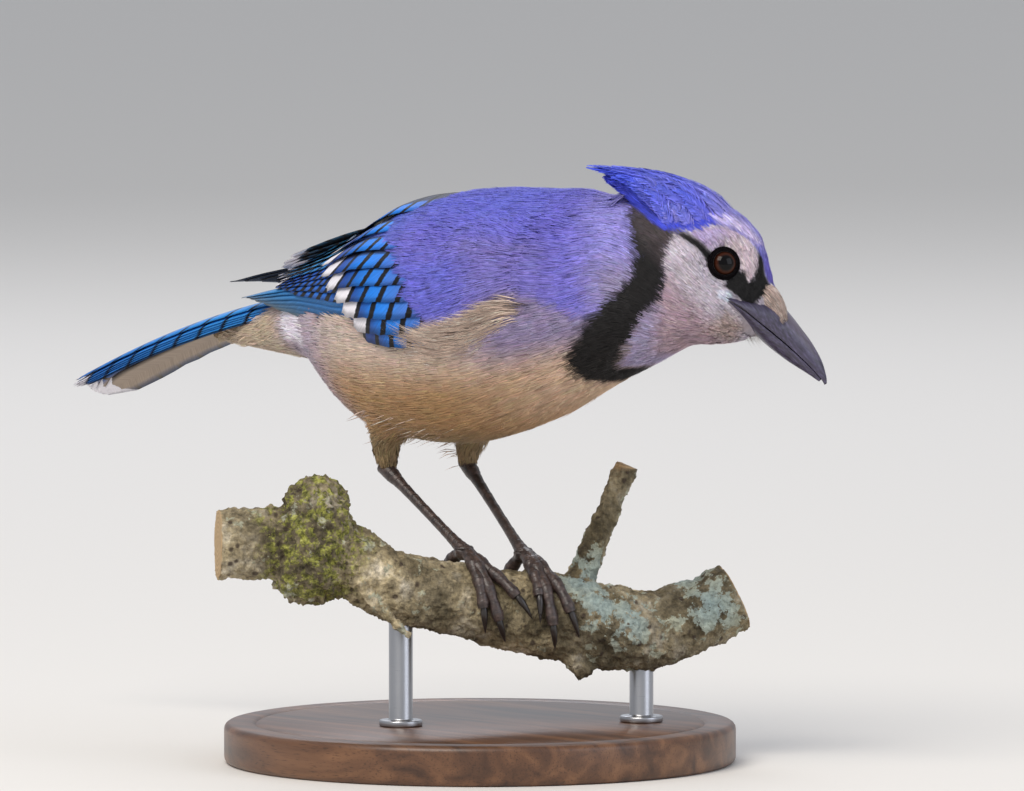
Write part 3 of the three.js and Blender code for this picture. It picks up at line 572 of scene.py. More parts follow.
# The coat: tufts of fine barbs, each barb a thin closed blade
coat = {
    "back": {"tufts": 3000, "barbs": 9, "length": 7.6, "wide": 0.38, "lift": 0.7, "fan": 0.2, "dark": 0.05,
             "vary": 0.1},
    "arms": {"tufts": 3000, "barbs": 9, "length": 6.8, "wide": 0.34, "lift": 0.35, "fan": 0.2, "dark": 0.05,
             "vary": 0.11},
    "neck": {"tufts": 3000, "barbs": 9, "length": 6.4, "wide": 0.32, "lift": 0.75, "fan": 0.2, "dark": 0.05,
             "vary": 0.11},
    "breast": {"tufts": 3000, "barbs": 9, "length": 8.2, "wide": 0.34, "lift": 0.8, "fan": 0.22,
               "dark": 0.03, "vary": 0.1},
    "belly": {"tufts": 3000, "barbs": 9, "length": 9.0, "wide": 0.36, "lift": 0.9, "fan": 0.22,
              "dark": 0.02, "vary": 0.09},
    "rump": {"tufts": 2200, "barbs": 9, "length": 8.0, "wide": 0.36, "lift": 0.75, "fan": 0.22,
             "dark": 0.03, "vary": 0.09},
    "thighs": {"tufts": 1300, "barbs": 8, "length": 5.0, "wide": 0.28, "lift": 0.55, "fan": 0.24,
               "dark": 0.05, "vary": 0.12},
    "throat": {"tufts": 3200, "barbs": 8, "length": 5.2, "wide": 0.26, "lift": 0.6, "fan": 0.2,
               "dark": 0.04, "vary": 0.15},
    "face": {"tufts": 4600, "barbs": 7, "length": 3.5, "wide": 0.17, "lift": 0.4, "fan": 0.17, "dark": 0.04,
             "vary": 0.22},
    "crown": {"tufts": 2400, "barbs": 8, "length": 6.5, "wide": 0.3, "lift": 0.5, "fan": 0.13, "dark": 0.05,
              "vary": 0.18},
}
regions = list(coat)
darkBarb = 0.5  # how bright a dark barb is beside its neighbours
# Barbs are darkened at the root as painted shade of the coat's depth and lightened at the tip as painted
# light
rootShade, tipShade = 0.75, 1.06
patch = 0.003


def wingTable(side):
    grid = np.meshgrid(np.linspace(-0.02, 1, 70), np.linspace(-0.1, 1.1, 30), indexing="ij")
    u, v = [g.ravel() for g in grid]
    point, along, across, outward = wingFrame(side, u, v)
    return u, v, point, outward, along


wings = {side: wingTable(side) for side in (-1, 1)}


# Place on the wing of that side: u, v and the height over its chart
def wingPlace(points, side):
    u, v, place, outward, along = wings[side]
    near = np.empty(len(points), int)
    batch, square = 4000, (place ** 2).sum(1)[None]
    for k in range(0, len(points), batch):
        some = points[k:k + batch]
        near[k:k + batch] = ((some ** 2).sum(1)[:, None] - 2 * some @ place.T + square).argmin(1)
    off = points - place[near]
    high = (off * outward[near]).sum(1)
    far = np.linalg.norm(off, axis=1)
    return u[near], v[near], high, far, along[near]


faceCount = len(skin.data.polygons)
faceCo = rowsOf(skin.data.polygons, "center") / mm
faceNormal = rowsOf(skin.data.polygons, "normal")
faceArea = np.empty(faceCount, np.float32)
skin.data.polygons.foreach_get("area", faceArea)
faceT, facePhi, faceSpine = trunkPlace(faceCo)
faceHead = toHead(faceCo)
hidden = np.zeros(faceCount, bool)
wingAlong = np.zeros((faceCount, 3))
for side in (-1, 1):
    u, v, high, far, along = wingPlace(faceCo, side)
    near = (far < 7) & (faceCo[:, 1] * side > -4)
    onArm = near & (u > 0.005) & (u < 0.98) & (v > 0.0) & (v < 1.0) & (high > -3.4)
    wingAlong[onArm] = along[onArm]
    hidden |= near & (u > 0.05) & (u < 0.3) & (v > 0.06) & (v < 0.93) & (high > -3.4) & (high < 3.5)
    hidden |= near & (u > 0.3) & (v > 0.04) & (v < 0.97) & (high < 0.8)
crownEdge = np.interp(faceHead[:, 0], *crownLine.T)
headGap = np.linalg.norm(faceHead - [-2, 0, -5], axis=1)
isHead = (headGap < 22.5) | ((faceHead[:, 0] > -2) & (faceHead[:, 2] > -34))
isHead |= (faceHead[:, 2] > crownEdge) & (faceT > 0.9)
isCrown = isHead & (faceHead[:, 2] > crownEdge - 0.5)
isFace = isHead & ~isCrown & (faceHead[:, 2] > -13) & (faceHead[:, 0] > -14)
turn = np.abs(facePhi)
faceRegion = np.full(faceCount, regions.index("belly"))
for name, where in (
    ("breast", turn < 118), ("back", turn < 70), ("rump", faceT < 0.42), ("neck", faceT > 0.79),
    ("thighs", (faceCo[:, 2] < 82) & (faceT > 0.3) & (faceT < 0.75)),
    ("throat", isHead & ~isFace & ~isCrown), ("face", isFace), ("crown", isCrown),
):
    faceRegion[where] = regions.index(name)
eyeGap = np.hypot(faceHead[:, 0] - eye["ahead"], faceHead[:, 2] - eye["above"])
offMiddle = np.abs(faceHead[:, 1])
hidden |= isFace & (eyeGap < 3.5)
hidden |= (within(faceHead[:, [0, 2]], mouthSide, 0.05) > 0.5) & (offMiddle > 2.5) & isHead
hidden |= isHead & (faceHead[:, 0] > 13.5) & (offMiddle < 4.2) & (np.abs(faceHead[:, 2]) < 7)


# The lie of the coat: from the bill over the head, along the trunk, and down the legs
def lieOf(points, normals, spineAt, along):
    head = toHead(points)
    away = unit(head - [24, 0, -1.5]) * 0.6 + [-0.6, 0, 0]
    onHead = 1 - smoothstep(np.linalg.norm(head - [0, 0, -5], axis=1), 20, 32)
    lie = -spine[1][spineAt] * (1 - onHead)[:, None] + unit(away) @ headTurn.T * onHead[:, None]
    hasWing = np.linalg.norm(along, axis=1) > 0
    lie[hasWing] = along[hasWing]
    leg = smoothstep(84 - points[:, 2], 0, 6)
    for at in legs.values():
        down = unit(at["ankle"] - at["knee"])
        close = leg * (np.linalg.norm((points - at["ankle"])[:, :2], axis=1) < 13)
        lie = lie * (1 - close)[:, None] + down * close[:, None]
    lie = lie - (lie * normals).sum(1)[:, None] * normals
    return unit(lie)


# The nearest place on the skin and its normal
def onSkin(points):
    place, normal = np.empty_like(points), np.empty_like(points)
    for k, p in enumerate(points):
        spot, n, _, _ = skinTree.find_nearest(p)
        place[k], normal[k] = spot, n
    return place, normal


# An unwrap of the skin: round and along the head, or round and along the trunk
def unwrap(points, ofHead):
    if ofHead:
        head = toHead(points)
        around = np.arctan2(head[:, 1], head[:, 2] + 5) / (2 * math.pi) + 0.5
        return np.stack([around, (head[:, 0] + 45) / 66], 1)
    t, phi, _ = trunkPlace(points)
    return np.stack([phi / 360 + 0.5, 0.02 + t * 0.96], 1)


# Blades from their root, middle and tip, with the way across and the way out
def bladeMesh(root, middle, tip, across, out, wide):
    half = across * (wide / 2)[:, None]
    ridge = middle + out * (wide * 0.14)[:, None]
    points = np.stack([root, middle + half, ridge, middle - half, tip], 1).reshape(-1, 3)
    base = np.arange(len(root))[:, None] * 5
    corners = np.array([(0, 2, 1), (0, 3, 2), (1, 2, 4), (2, 3, 4), (0, 1, 3), (1, 4, 3)])
    return points, (base[:, None] + corners[None]).reshape(-1, 3)


# Body feathers: loose, hair-like barbs about 0.3 mm wide that scatter a soft, matt light
coatMaterial, add, shader = newMaterial(
    "contour_feather_barbs", Roughness=0.66, Sheen_Weight=0.06, Sheen_Roughness=0.4,
    Specular_IOR_Level=0.35,
)
barbTint = add("Attribute", attribute_name="tint")
objectAt = add("TexCoord").outputs["Object"]
mottle = add("TexNoise", {"Vector": objectAt, "Scale": 260.0, "Detail": 4.0})
mottleRange = add("MapRange", mottle, 0.3, 0.7, 0.92, 1.08)
mottled = add("Mix", {0: 1.0, 6: barbTint, 7: mottleRange}, **multiplying)
fineGrain = add("TexNoise", {"Vector": objectAt, "Scale": 5200.0, "Detail": 2.0})
grainBump = add("Bump", {"Strength": 0.35, "Distance": 0.00008, "Height": fineGrain})
feed(shader, {"Base Color": mottled, "Normal": grainBump})


# Colours of blades from root to tip, with alpha; the shades paint shade at the root and light at the tip
def bladeTints(colour, shades):
    return withAlpha(np.clip(colour[:, None] * np.array(shades)[None, :, None], 0, 1)).reshape(-1, 4)


# A coat piece of single barbs, each with a small island of the atlas at its root
def looseBarbs(name, slot, barbs, colour, shades, ofHead, smooth):
    points, faces = bladeMesh(*barbs)
    island = np.array([(0, -0.5), (0.4, 0), (0, 0.02), (-0.4, 0), (0, 0.5)]) * patch
    uv = (unwrap(barbs[0], ofHead)[:, None] + island).reshape(-1, 2)
    tints = bladeTints(colour, shades)
    mount(makePiece(name, points, faces, coatMaterial, smooth, {"tint": tints}, uv), slot)


# A tuft's way over the skin: root, middle and tip with the way across and out
def skinPath(sizes, roots, normals, lie, grow):
    number = len(roots)
    length = sizes["length"] * random.uniform(0.8, 1.2, number) * grow
    half = (length * 0.5)[:, None]
    lie = unit(lie + np.cross(normals, lie) * random.normal(0, 0.05, number)[:, None])
    middle, middleOut = onSkin(roots + lie * half + normals * 0.6)
    onward = unit(middle - roots)
    onward = unit(onward - (onward * middleOut).sum(1)[:, None] * middleOut)
    tip, tipOut = onSkin(middle + onward * half + middleOut * 0.6)
    lift = sizes["lift"] * random.uniform(0.8, 1.25, number)
    root = roots - normals * 0.35
    middle = middle + middleOut * (lift * 0.85)[:, None]
    tip = tip + tipOut * lift[:, None]
    return root, middle, tip, unit(np.cross(middleOut, lie)), middleOut, tipOut, length


# Spreads each tuft into its barbs and makes the piece
def layCoat(name, sizes, slot, path, ofHead, *nodes):
    root, middle, tip, across, middleOut, tipOut, length = path
    number, barbs = len(root), sizes["barbs"]
    share = np.linspace(-1, 1, barbs)[None] + random.normal(0, 0.14, (number, barbs))
    spread = (length * sizes["fan"])[:, None] * share
    reach = 1 - 0.22 * np.abs(share) + random.normal(0, 0.07, share.shape)
    wobble = random.normal(0, 0.03, share.shape) * length[:, None]
    rise = random.normal(0, 0.05, share.shape)[..., None]
    a, m, z = root[:, None], middle[:, None], tip[:, None]
    c, o = across[:, None], middleOut[:, None]
    bladeRoot = a + c * (spread * 0.6)[..., None]
    bladeMiddle = a + (m - a) * reach[..., None] + c * (spread * 0.9)[..., None] + o * rise
    bladeTip = a + (z - a) * reach[..., None] + c * (spread + wobble)[..., None] + tipOut[:, None] * rise
    wide = sizes["wide"] * random.uniform(0.75, 1.25, share.shape)
    flat = lambda x: np.broadcast_to(x, (number, barbs, 3)).reshape(-1, 3)
    points, faces = bladeMesh(*[flat(x) for x in (bladeRoot, bladeMiddle, bladeTip, c, o)], wide.ravel())
    colour = markings(flat(bladeMiddle * 0.5 + bladeTip * 0.5))
    tuftShift = random.normal(0, 0.05, (number, 1)) + random.normal(0, 0.025, (number, 3))
    barbShift = random.normal(0, sizes["vary"], (number * barbs, 1))
    barbShift = barbShift + random.normal(0, 0.03, (number * barbs, 3))
    colour = colour * np.exp(np.repeat(tuftShift, barbs, 0) + barbShift)
    colour = colour * np.where(random.random(len(colour)) < sizes["dark"], darkBarb, 1)[:, None]
    tints = bladeTints(colour, [rootShade, 0.97, 1.0, 0.97, tipShade])
    corner = unwrap(root, ofHead)[:, None] + np.zeros((1, barbs, 1))
    sideways = (share / 2.6 * patch)[..., None] * [1, 0]
    island = np.array([(0, -0.5), (0.1, 0), (0, 0.02), (-0.1, 0), (0, 0.5)]) * patch
    uv = (corner + sideways)[:, :, None] + island
    piece = makePiece(name, points, faces, coatMaterial, False, {"tint": tints}, uv.reshape(-1, 2))
    mount(piece, slot, *nodes)


# Height over the wing's chart of the small coverts' outer face
def armTop(u, v):
    return np.maximum(armLift(u, np.clip(v, 0.02, 0.98)) - 0.1, 0.5 + 7 * np.maximum(0, u - 0.24))


# Brings points to a height over the skin between a least and a most
def overSkin(points, low, most=60):
    place, normal = onSkin(points)
    high = ((points - place) * normal).sum(1)
    return points + normal * (np.clip(high, low, most) - high)[:, None]


# The small coverts lie on the wing's own chart, over the roots of the barred row
def armPath(sizes):
    stations = []
    for side in (-1, 1):
        number = sizes["tufts"] // 2
        v = random.uniform(0.03, 1.06, number)
        u = -0.14 + random.uniform(0, 1, number) * (0.31 + 0.25 * np.clip(v, 0, 1) + 0.02 * np.sin(v * 23))
        length = sizes["length"] * random.uniform(0.8, 1.2, number)
        slope = random.normal(-0.004, 0.008, number)
        lift = sizes["lift"] * random.uniform(0.5, 1.3, number)
        line = []
        for part, sink in ((0, -0.9), (0.5, 0.75), (1, 1.0)):
            un, vn = u + part * length / 112, v + slope * part
            point, along, across, outward = wingFrame(side, un, vn)
            high = armTop(un, vn) + (lift * sink if sink > 0 else sink)
            wrist = np.exp(-(((un + 0.03) / 0.035) ** 2))
            low = 0.7 * sink - (part == 0) * 0.2 + 1.3 * wrist * (sink > 0)
            most = low + np.interp(un, [-0.02, 0.1, 0.16], [0.3, 0.8, 60])
            line.append((overSkin(point + outward * high[:, None], low, most), outward))
        stations.append((line[0][0], line[1][0], line[2][0], across * side, line[1][1], line[2][1], length))
    return [np.concatenate(x) for x in zip(*stations)]


slots = {"crown": "head_plumage", "face": "head_plumage", "throat": "head_plumage"}
for name, sizes in coat.items():
    if name == "arms":
        layCoat("coat_arms", sizes, "body_plumage", armPath(sizes), False)
        continue
    fits = np.flatnonzero((faceRegion == regions.index(name)) & ~hidden)
    weight = faceArea[fits] / faceArea[fits].sum()
    if name == "rump":
        sizes["tufts"] = int(min(sizes["tufts"], faceArea[fits].sum() / mm**2 * 0.9))
    chosen = random.choice(fits, sizes["tufts"], p=weight)
    roots = faceCo[chosen] + random.uniform(-0.55, 0.55, (len(chosen), 3))
    normals = faceNormal[chosen]
    lie = lieOf(roots, normals, faceSpine[chosen], wingAlong[chosen])
    ofHead = name in slots
    grow = np.ones(len(chosen))
    if name == "crown":
        grow = np.interp(faceHead[chosen, 0], [-26, -12, 4, 14], [1.5, 1.35, 0.75, 0.45])
    if name == "face":
        near = np.interp(eyeGap[chosen], [3, 5, 9], [0.45, 0.7, 1])
        grow = near * np.interp(faceHead[chosen, 0], [-12, 8, 16], [1.35, 0.85, 0.6])
    nodes = ("head",) if name == "crown" else ()
    path = skinPath(sizes, roots, normals, lie, grow)
    layCoat("coat_" + name, sizes, slots.get(name, "body_plumage"), path, ofHead, *nodes)
    print("coat", name, len(fits), "of area", round(float(faceArea[fits].sum() / mm**2)))


# Flight feathers, coverts, tail and crest: closed vanes with a ridge along the shaft
ringAcross = np.array([-1, -0.5, 0, 0.5, 1, 0.5, 0, -0.5])
ringHeight = np.array([0, 0.42, 0.85, 0.42, 0, -0.4, -0.5, -0.4])
underRing = np.array([0, 0, 0, 0, 0, 1, 1, 1])


# The width of a vane along it, narrow at the root and rounded at the tip
def leaf(t, tip=0.35, root=0.55, start=0.8):
    narrow = root + (1 - root) * np.minimum(1, t / 0.3)
    rounded = np.sqrt(np.maximum(0, 1 - (np.maximum(0, t - start) / (1 - start)) ** 2))
    return narrow * np.maximum(rounded, tip)


# Adds one vane: tints run from root to tip; bars are the white tip, period, dark share and reach, in mm
def addVane(group, centre, across, outward, wide, tints, bars, webs, thick=0.3, camber=0.05, place=None):
    rows = len(centre)
    steps = np.linalg.norm(np.diff(centre, axis=0), axis=1)
    run = np.concatenate([[0], np.cumsum(steps)])
    x = ringAcross[None] * (1 + random.normal(0, 0.025, (rows, 8)) * (np.abs(ringAcross) == 1))
    reach = x * (wide / 2)[:, None]
    thin = np.linspace(1, 0.6, rows)[:, None] * thick
    high = ringHeight[None] * thin - camber * x**2 * (wide / 2)[:, None]
    sheet = place(reach) if place else centre[:, None] + across[:, None] * reach[..., None]
    points = sheet + outward[:, None] * high[..., None]
    ends = np.stack([centre[0], centre[-1] + (centre[-1] - centre[-2]) * 0.12])
    toTip = np.broadcast_to((run[-1] - run)[:, None], (rows, 8))
    vaneAt = np.stack([np.broadcast_to(ringAcross, (rows, 8)), toTip, reach], 2).reshape(-1, 3)
    endPlace = np.array([(0, run[-1], 0), (0, 0, 0)])
    tint = through(tints, np.linspace(0, 1, rows)) if len(tints) > 1 else np.repeat(tints, rows, 0)
    tint = np.repeat(tint, 8, 0)
    seed = random.random()
    group["points"].append(np.vstack([points.reshape(-1, 3), ends]))
    group["vane"].append(np.vstack([vaneAt, endPlace]))
    group["tint"].append(np.vstack([tint, tint[[0, -1]]]))
    group["bars"].append(np.tile(bars, (rows * 8 + 2, 1)))
    under = np.concatenate([np.tile(underRing, rows), [0, 0]])
    whole = np.ones(len(under))
    group["webs"].append(np.stack([whole * webs, under, whole * seed, whole], 1))
    group["rows"].append(rows)


plain = (0, 9, 0, 0)  # the bars of a vane that has none


def vaneGroup():
    return {key: [] for key in ("points", "vane", "tint", "bars", "webs", "rows")}


def buildVanes(name, group, material, slot, *nodes):
    quads, caps, quadUv, capUv, start = [], [], [], [], 0
    cells = math.ceil(math.sqrt(len(group["rows"])))
    for index, rows in enumerate(group["rows"]):
        i, j = [g.ravel() for g in np.meshgrid(np.arange(rows - 1), np.arange(8), indexing="ij")]
        after = (j + 1) % 8
        corner = np.stack([i * 8 + j, i * 8 + after, (i + 1) * 8 + after, (i + 1) * 8 + j], 1)
        quads.append(corner[:, ::-1] + start)
        ring = np.arange(8)
        onward = (ring + 1) % 8
        last = (rows - 1) * 8
        rootCap = np.stack([onward, np.full(8, rows * 8), ring], 1)
        tipCap = np.stack([last + ring, np.full(8, rows * 8 + 1), last + onward], 1)
        caps.append(np.vstack([rootCap, tipCap]) + start)
        # an island for the top and one for the underside, in a cell of the atlas
        cell = np.array([index % cells, index // cells]) / cells
        left, right = ringAcross[j] * 0.5 + 0.5, ringAcross[after] * 0.5 + 0.5
        offset = np.where(j >= 4, 0.5, 0.0)
        u0, u1 = offset + 0.03 + left * 0.42, offset + 0.03 + right * 0.42
        v0, v1 = 0.05 + i / rows * 0.85, 0.05 + (i + 1) / rows * 0.85
        square = np.stack([np.stack(pair, 1) for pair in ((u0, v0), (u1, v0), (u1, v1), (u0, v1))], 1)
        quadUv.append(square[:, ::-1] / cells + cell)
        tiny = np.array([[0.48, 0.02], [0.49, 0.02], [0.485, 0.03]])
        capUv.append(np.tile(tiny / cells + cell, (16, 1, 1)))
        start += rows * 8 + 2
    faces = [np.vstack(quads), np.vstack(caps)]
    uv = np.concatenate([np.concatenate(quadUv).reshape(-1, 2), np.concatenate(capUv).reshape(-1, 2)])
    attributes = {key: np.vstack(group[key]) for key in ("tint", "vane", "bars", "webs")}
    attributes["tint"] = withAlpha(attributes["tint"])
    piece = makePiece(name, np.vstack(group["points"]), faces, material, True, attributes, uv)
    only(piece)
    bpy.ops.object.mode_set(mode="EDIT")
    bpy.ops.mesh.select_all(action="SELECT")
    bpy.ops.mesh.normals_make_consistent(inside=False)
    bpy.ops.object.mode_set(mode="OBJECT")
    mount(piece, slot, *nodes)


# Vaned feathers: barbs zipped flat, a low satin sheen, blue webs barred black with white tips
def vaneMaterial(name, barbSpacing, roughness, underside, shaftTone, shaftShare):
    material, add, shader = newMaterial(name, Roughness=roughness, Specular_IOR_Level=0.28)
    vaneAt = add("SeparateXYZ", add("Attribute", attribute_name="vane").outputs["Vector"])
    bars = add("SeparateColor", add("Attribute", attribute_name="bars"))
    webs = add("SeparateColor", add("Attribute", attribute_name="webs"))
    reachTo = add("Attribute", attribute_name="bars").outputs["Alpha"]
    tintAt = add("Attribute", attribute_name="tint")
    x, y, millimetres = vaneAt.outputs
    away = add("Math", x, operation="ABSOLUTE")
    # bars bow towards the tip at the shaft, and run a little ragged
    bow = add("Math", away, 0.55, y, operation="MULTIPLY_ADD")
    seedAt = add("CombineXYZ", add("Math", webs.outputs[2], 40.0, operation="MULTIPLY"), y, millimetres)
    rag = add("TexNoise", {"Vector": seedAt, "Scale": 1.4, "Detail": 3.0})
    ragged = add("Math", rag, 0.9, add("Math", bow, 0.45, operation="SUBTRACT"), operation="MULTIPLY_ADD")
    past = add("Math", ragged, bars.outputs[0], operation="SUBTRACT")
    shorter = add("Math", webs.outputs[1], 3.8, past, operation="MULTIPLY_ADD")
    white = add("MapRange", shorter, -0.12, 0.12, 1.0, 0.0)
    phase = add("Math", add("Math", past, bars.outputs[1], operation="DIVIDE"), operation="FRACT")
    overBar = add("Math", phase, bars.outputs[2], operation="SUBTRACT")
    dark = add("MapRange", overBar, -0.03, 0.03, 1.0, 0.0)
    inReach = add("MapRange", add("Math", y, reachTo, operation="SUBTRACT"), -0.5, 0.8, 1.0, 0.0)
    barMask = add("Math", dark, inReach, operation="MULTIPLY")
    inner = add("MapRange", x, -0.12, 0.02, 1.0, 0.0)
    innerMask = add("Math", inner, webs.outputs[0], operation="MULTIPLY")
    offShaft = add("Math", millimetres, operation="ABSOLUTE")
    shaft = add("MapRange", offShaft, 0.08, 0.18, shaftShare, 0.0)
    # barbs leave the shaft at a slant
    slant = add("Math", offShaft, 0.9, y, operation="MULTIPLY_ADD")
    barbNumber = add("Math", slant, barbSpacing, operation="DIVIDE")
    apart = add("Math", webs.outputs[2], 30.0, operation="MULTIPLY")
    barbAt = add("CombineXYZ", barbNumber, add("Math", x, 0.8, operation="MULTIPLY"), apart)
    barbs = add("TexNoise", {"Vector": barbAt, "Scale": 1.0, "Detail": 2.0})
    streak = add("MapRange", barbs, 0.3, 0.7, 0.8, 1.16)
    blue = add("Mix", {0: 1.0, 6: tintAt, 7: streak}, **multiplying)
    webbed = add("Mix", {0: innerMask, 6: blue, 7: "#26242a"}, **mixing)
    shafted = add("Mix", {0: shaft, 6: webbed, 7: shaftTone}, **mixing)
    barred = add("Mix", {0: barMask, 6: shafted, 7: "#0b0b10"}, **mixing)
    whiteTone = add("Mix", {0: 0.5, 6: "#e9e6ee", 7: streak}, **multiplying)
    underTone = add("Mix", {0: 1.0, 6: underside, 7: streak}, **multiplying)
    bothSides = add("Mix", {0: webs.outputs[1], 6: barred, 7: underTone}, **mixing)
    final = add("Mix", {0: white, 6: bothSides, 7: whiteTone}, **mixing)
    bump = add("Bump", {"Strength": 0.35, "Distance": 0.0001, "Height": barbs})
    feed(shader, {"Base Color": final, "Normal": bump})
    return material


wingMaterial = vaneMaterial("wing_vanes", 0.32, 0.5, "#2b282c", "#141319", 0.7)
tailMaterial = vaneMaterial("tail_vanes", 0.34, 0.42, "#9c8b7b", "#1b1a20", 0.6)
crestMaterial = vaneMaterial("crest_vanes", 0.4, 0.5, "#3a3f88", "#3540a0", 0.4)

# Rows of the wing, from the lowest feather up: roots and tips on the chart, width and lift in mm
wingRows = {
    "primaries": {"count": 8, "roots": [(0.4, 0.02), (0.47, 0.42)],
                  "tips": [(0.82, 0.03), (0.9, 0.16), (0.97, 0.38), (1.02, 0.66)],
                  "width": 6.0, "lift": [-0.5, 0.5], "sink": 0.7, "tilt": 9, "bars": (0, 9, 0, 0),
                  "dark": 0.9, "blunt": 0,
                  "low": ["#2a6fb4", "#2b74b8", "#6f8494", "#a39685"],
                  "high": ["#2470bc", "#2b7cc4", "#3f80b8", "#918f88"]},
    "secondaries": {"count": 6, "roots": [(0.46, 0.36), (0.52, 0.8)],
                    "tips": [(0.8, 0.44), (0.88, 0.58), (0.885, 0.68), (0.85, 0.76)],
                    "width": 6.6, "lift": [0.9, 1.9], "sink": 0.9, "tilt": 9, "bars": (3.2, 4.6, 0.5, 80),
                    "dark": 0.92, "blunt": 0,
                    "low": ["#1b4fa4", "#2268c6", "#173f8c"], "high": ["#1d58b8", "#2358c4", "#16265c"]},
    "tertials": {"count": 5, "roots": [(0.48, 0.78), (0.5, 1.1)],
                 "tips": [(0.86, 0.8), (0.885, 0.9), (0.88, 1.0), (0.83, 1.12)],
                 "width": 7.8, "lift": [2.0, 4.0], "sink": 2.2, "tilt": 9, "bars": (5.2, 5.0, 0.36, 80),
                 "dark": 0.7, "blunt": 0.5,
                 "low": ["#1f66b8", "#2b82cc", "#1d4f9c"], "high": ["#3f9ad4", "#57b2e2", "#3f86c4"]},
    "primaryCoverts": {"count": 5, "roots": [(0.2, -0.06), (0.24, 0.12)],
                       "tips": [(0.43, -0.07), (0.46, 0.0), (0.44, 0.08)],
                       "width": 6.4, "lift": [0.6, 1.6], "sink": 2.2, "tilt": 9,
                       "bars": (0.4, 5.2, 0.27, 60), "dark": 0.85, "blunt": 0.5,
                       "low": ["#3f64a4", "#41679c", "#3a4c80"], "high": ["#4260b0", "#2a6fb6", "#2c508c"]},
    "greaterCoverts": {"count": 9, "roots": [(0.2, 0.09), (0.28, 1.06)],
                       "tips": [(0.445, 0.12), (0.465, 0.205), (0.5, 0.31), (0.535, 0.41), (0.575, 0.5),
                                (0.625, 0.62), (0.66, 0.76), (0.67, 0.9), (0.655, 1.04)],
                       "width": 9.8, "lift": [1.6, 3.3], "sink": 3.2, "tilt": 8,
                       "bars": (6.6, 6.1, 0.3, 80), "dark": 0.92, "blunt": 0.78,
                       "low": ["#5a5fc0", "#3f78cc", "#1c7ade", "#1b4c9c", "#173f8c", "#173f8c"],
                       "high": ["#5a5fc0", "#4a68c6", "#1a7ee6", "#1a48a0", "#163c8c", "#163c8c"]},
}
vaneSteps = 1 - (1 - np.linspace(0, 1, 18)) ** 1.6


def alongLine(line, share):
    line = np.array(line, float)
    steps = np.linspace(0, 1, len(line))
    return np.array([np.interp(share, steps, column) for column in line.T])


def buildWing(side, name, *nodes):
    group = vaneGroup()
    t = vaneSteps
    for rowName, row in wingRows.items():
        for i in range(row["count"]):
            share = i / (row["count"] - 1)
            (ru, rv), (tu, tv) = alongLine(row["roots"], share), alongLine(row["tips"], share)
            tu += random.uniform(-0.004, 0.004)
            u, v = ru + (tu - ru) * t, rv + (tv - rv) * t
            point, along, across, outward = wingFrame(side, u, v)
            high = row["lift"][0] * (1 - share) + row["lift"][1] * share
            if side > 0 and rowName == "tertials":
                high, tu, tv = high * 0.3 - 1.6, tu - 0.02, min(tv, 0.98)
            elif side > 0:
                high -= 1.4 * smoothstep(rv, 0.7, 1)
            sunk = high - row["sink"]
            rise = sunk + (high - sunk) * np.minimum(1, t / 0.62)
            tilt = math.radians(row["tilt"])
            wide = row["width"] * leaf(t, max(0.2, row["blunt"]), 0.7, 0.93 if row["blunt"] else 0.72)
            turned = -across * math.cos(tilt) + outward * math.sin(tilt)
            out = outward * math.cos(tilt) + across * math.sin(tilt)
            centre = point + outward * rise[:, None]
            tints = tones(row["low"]) * (1 - share) + tones(row["high"]) * share
            tints = tints * random.uniform(0.92, 1.08)
            white, period, *rest = row["bars"]
            if rowName == "secondaries":
                white, period = white * (share > 0.4), random.uniform(3.8, 5.2)
            if rowName == "tertials" and side > 0:
                white = 9.0
            if rowName == "greaterCoverts":
                white = white * random.uniform(0.9, 1.1) * (i > 0)
                period = period * random.uniform(0.92, 1.08)
            addVane(group, centre, turned, out, wide, tints, (white, period, *rest), row["dark"])
    buildVanes(name, group, wingMaterial, "flight_feathers", *nodes)


buildWing(-1, "wing_feathers_right", "wing_right")
buildWing(1, "wing_feathers_left", "wing_left")
print("wings")

tail = {
    "root": (-44, 0, 117.3), "length": 107, "slope": 0.1, "bend": 0.0016, "swing": 2, "stack": 0.45,
    "farWhite": 6.6, "barPeriod": 8.7, "tints": ("#4a6cc0", "#2f84d0", "#2a7ccc", "#2360b0"),
    "covertTints": ("#3a62c0", "#2f70c4"),
}
# Tail feathers from the middle out: inner edge, outer edge, and how much shorter on the right and the left
rectrices = [
    (-5, 8.2, 3.2, 1.8), (-2, 9.2, 4.2, 0.9), (-1, 9.9, 5.6, 0.3),
    (0, 10.5, 7.4, 0.3), (0.8, 11, 9.6, 1.6), (1.4, 11.4, 12.5, 4.4),
]


def tailPoint(length, breadth, lift):
    roof = 0.47 * (np.hypot(breadth, 4) - 4)
    fall = tail["slope"] * length + tail["bend"] * length**2
    a = math.radians(tail["swing"])
    x, y = -length * math.cos(a) - breadth * math.sin(a), -length * math.sin(a) + breadth * math.cos(a)
    return np.stack([x, y, lift - roof - fall], -1) + tail["root"]


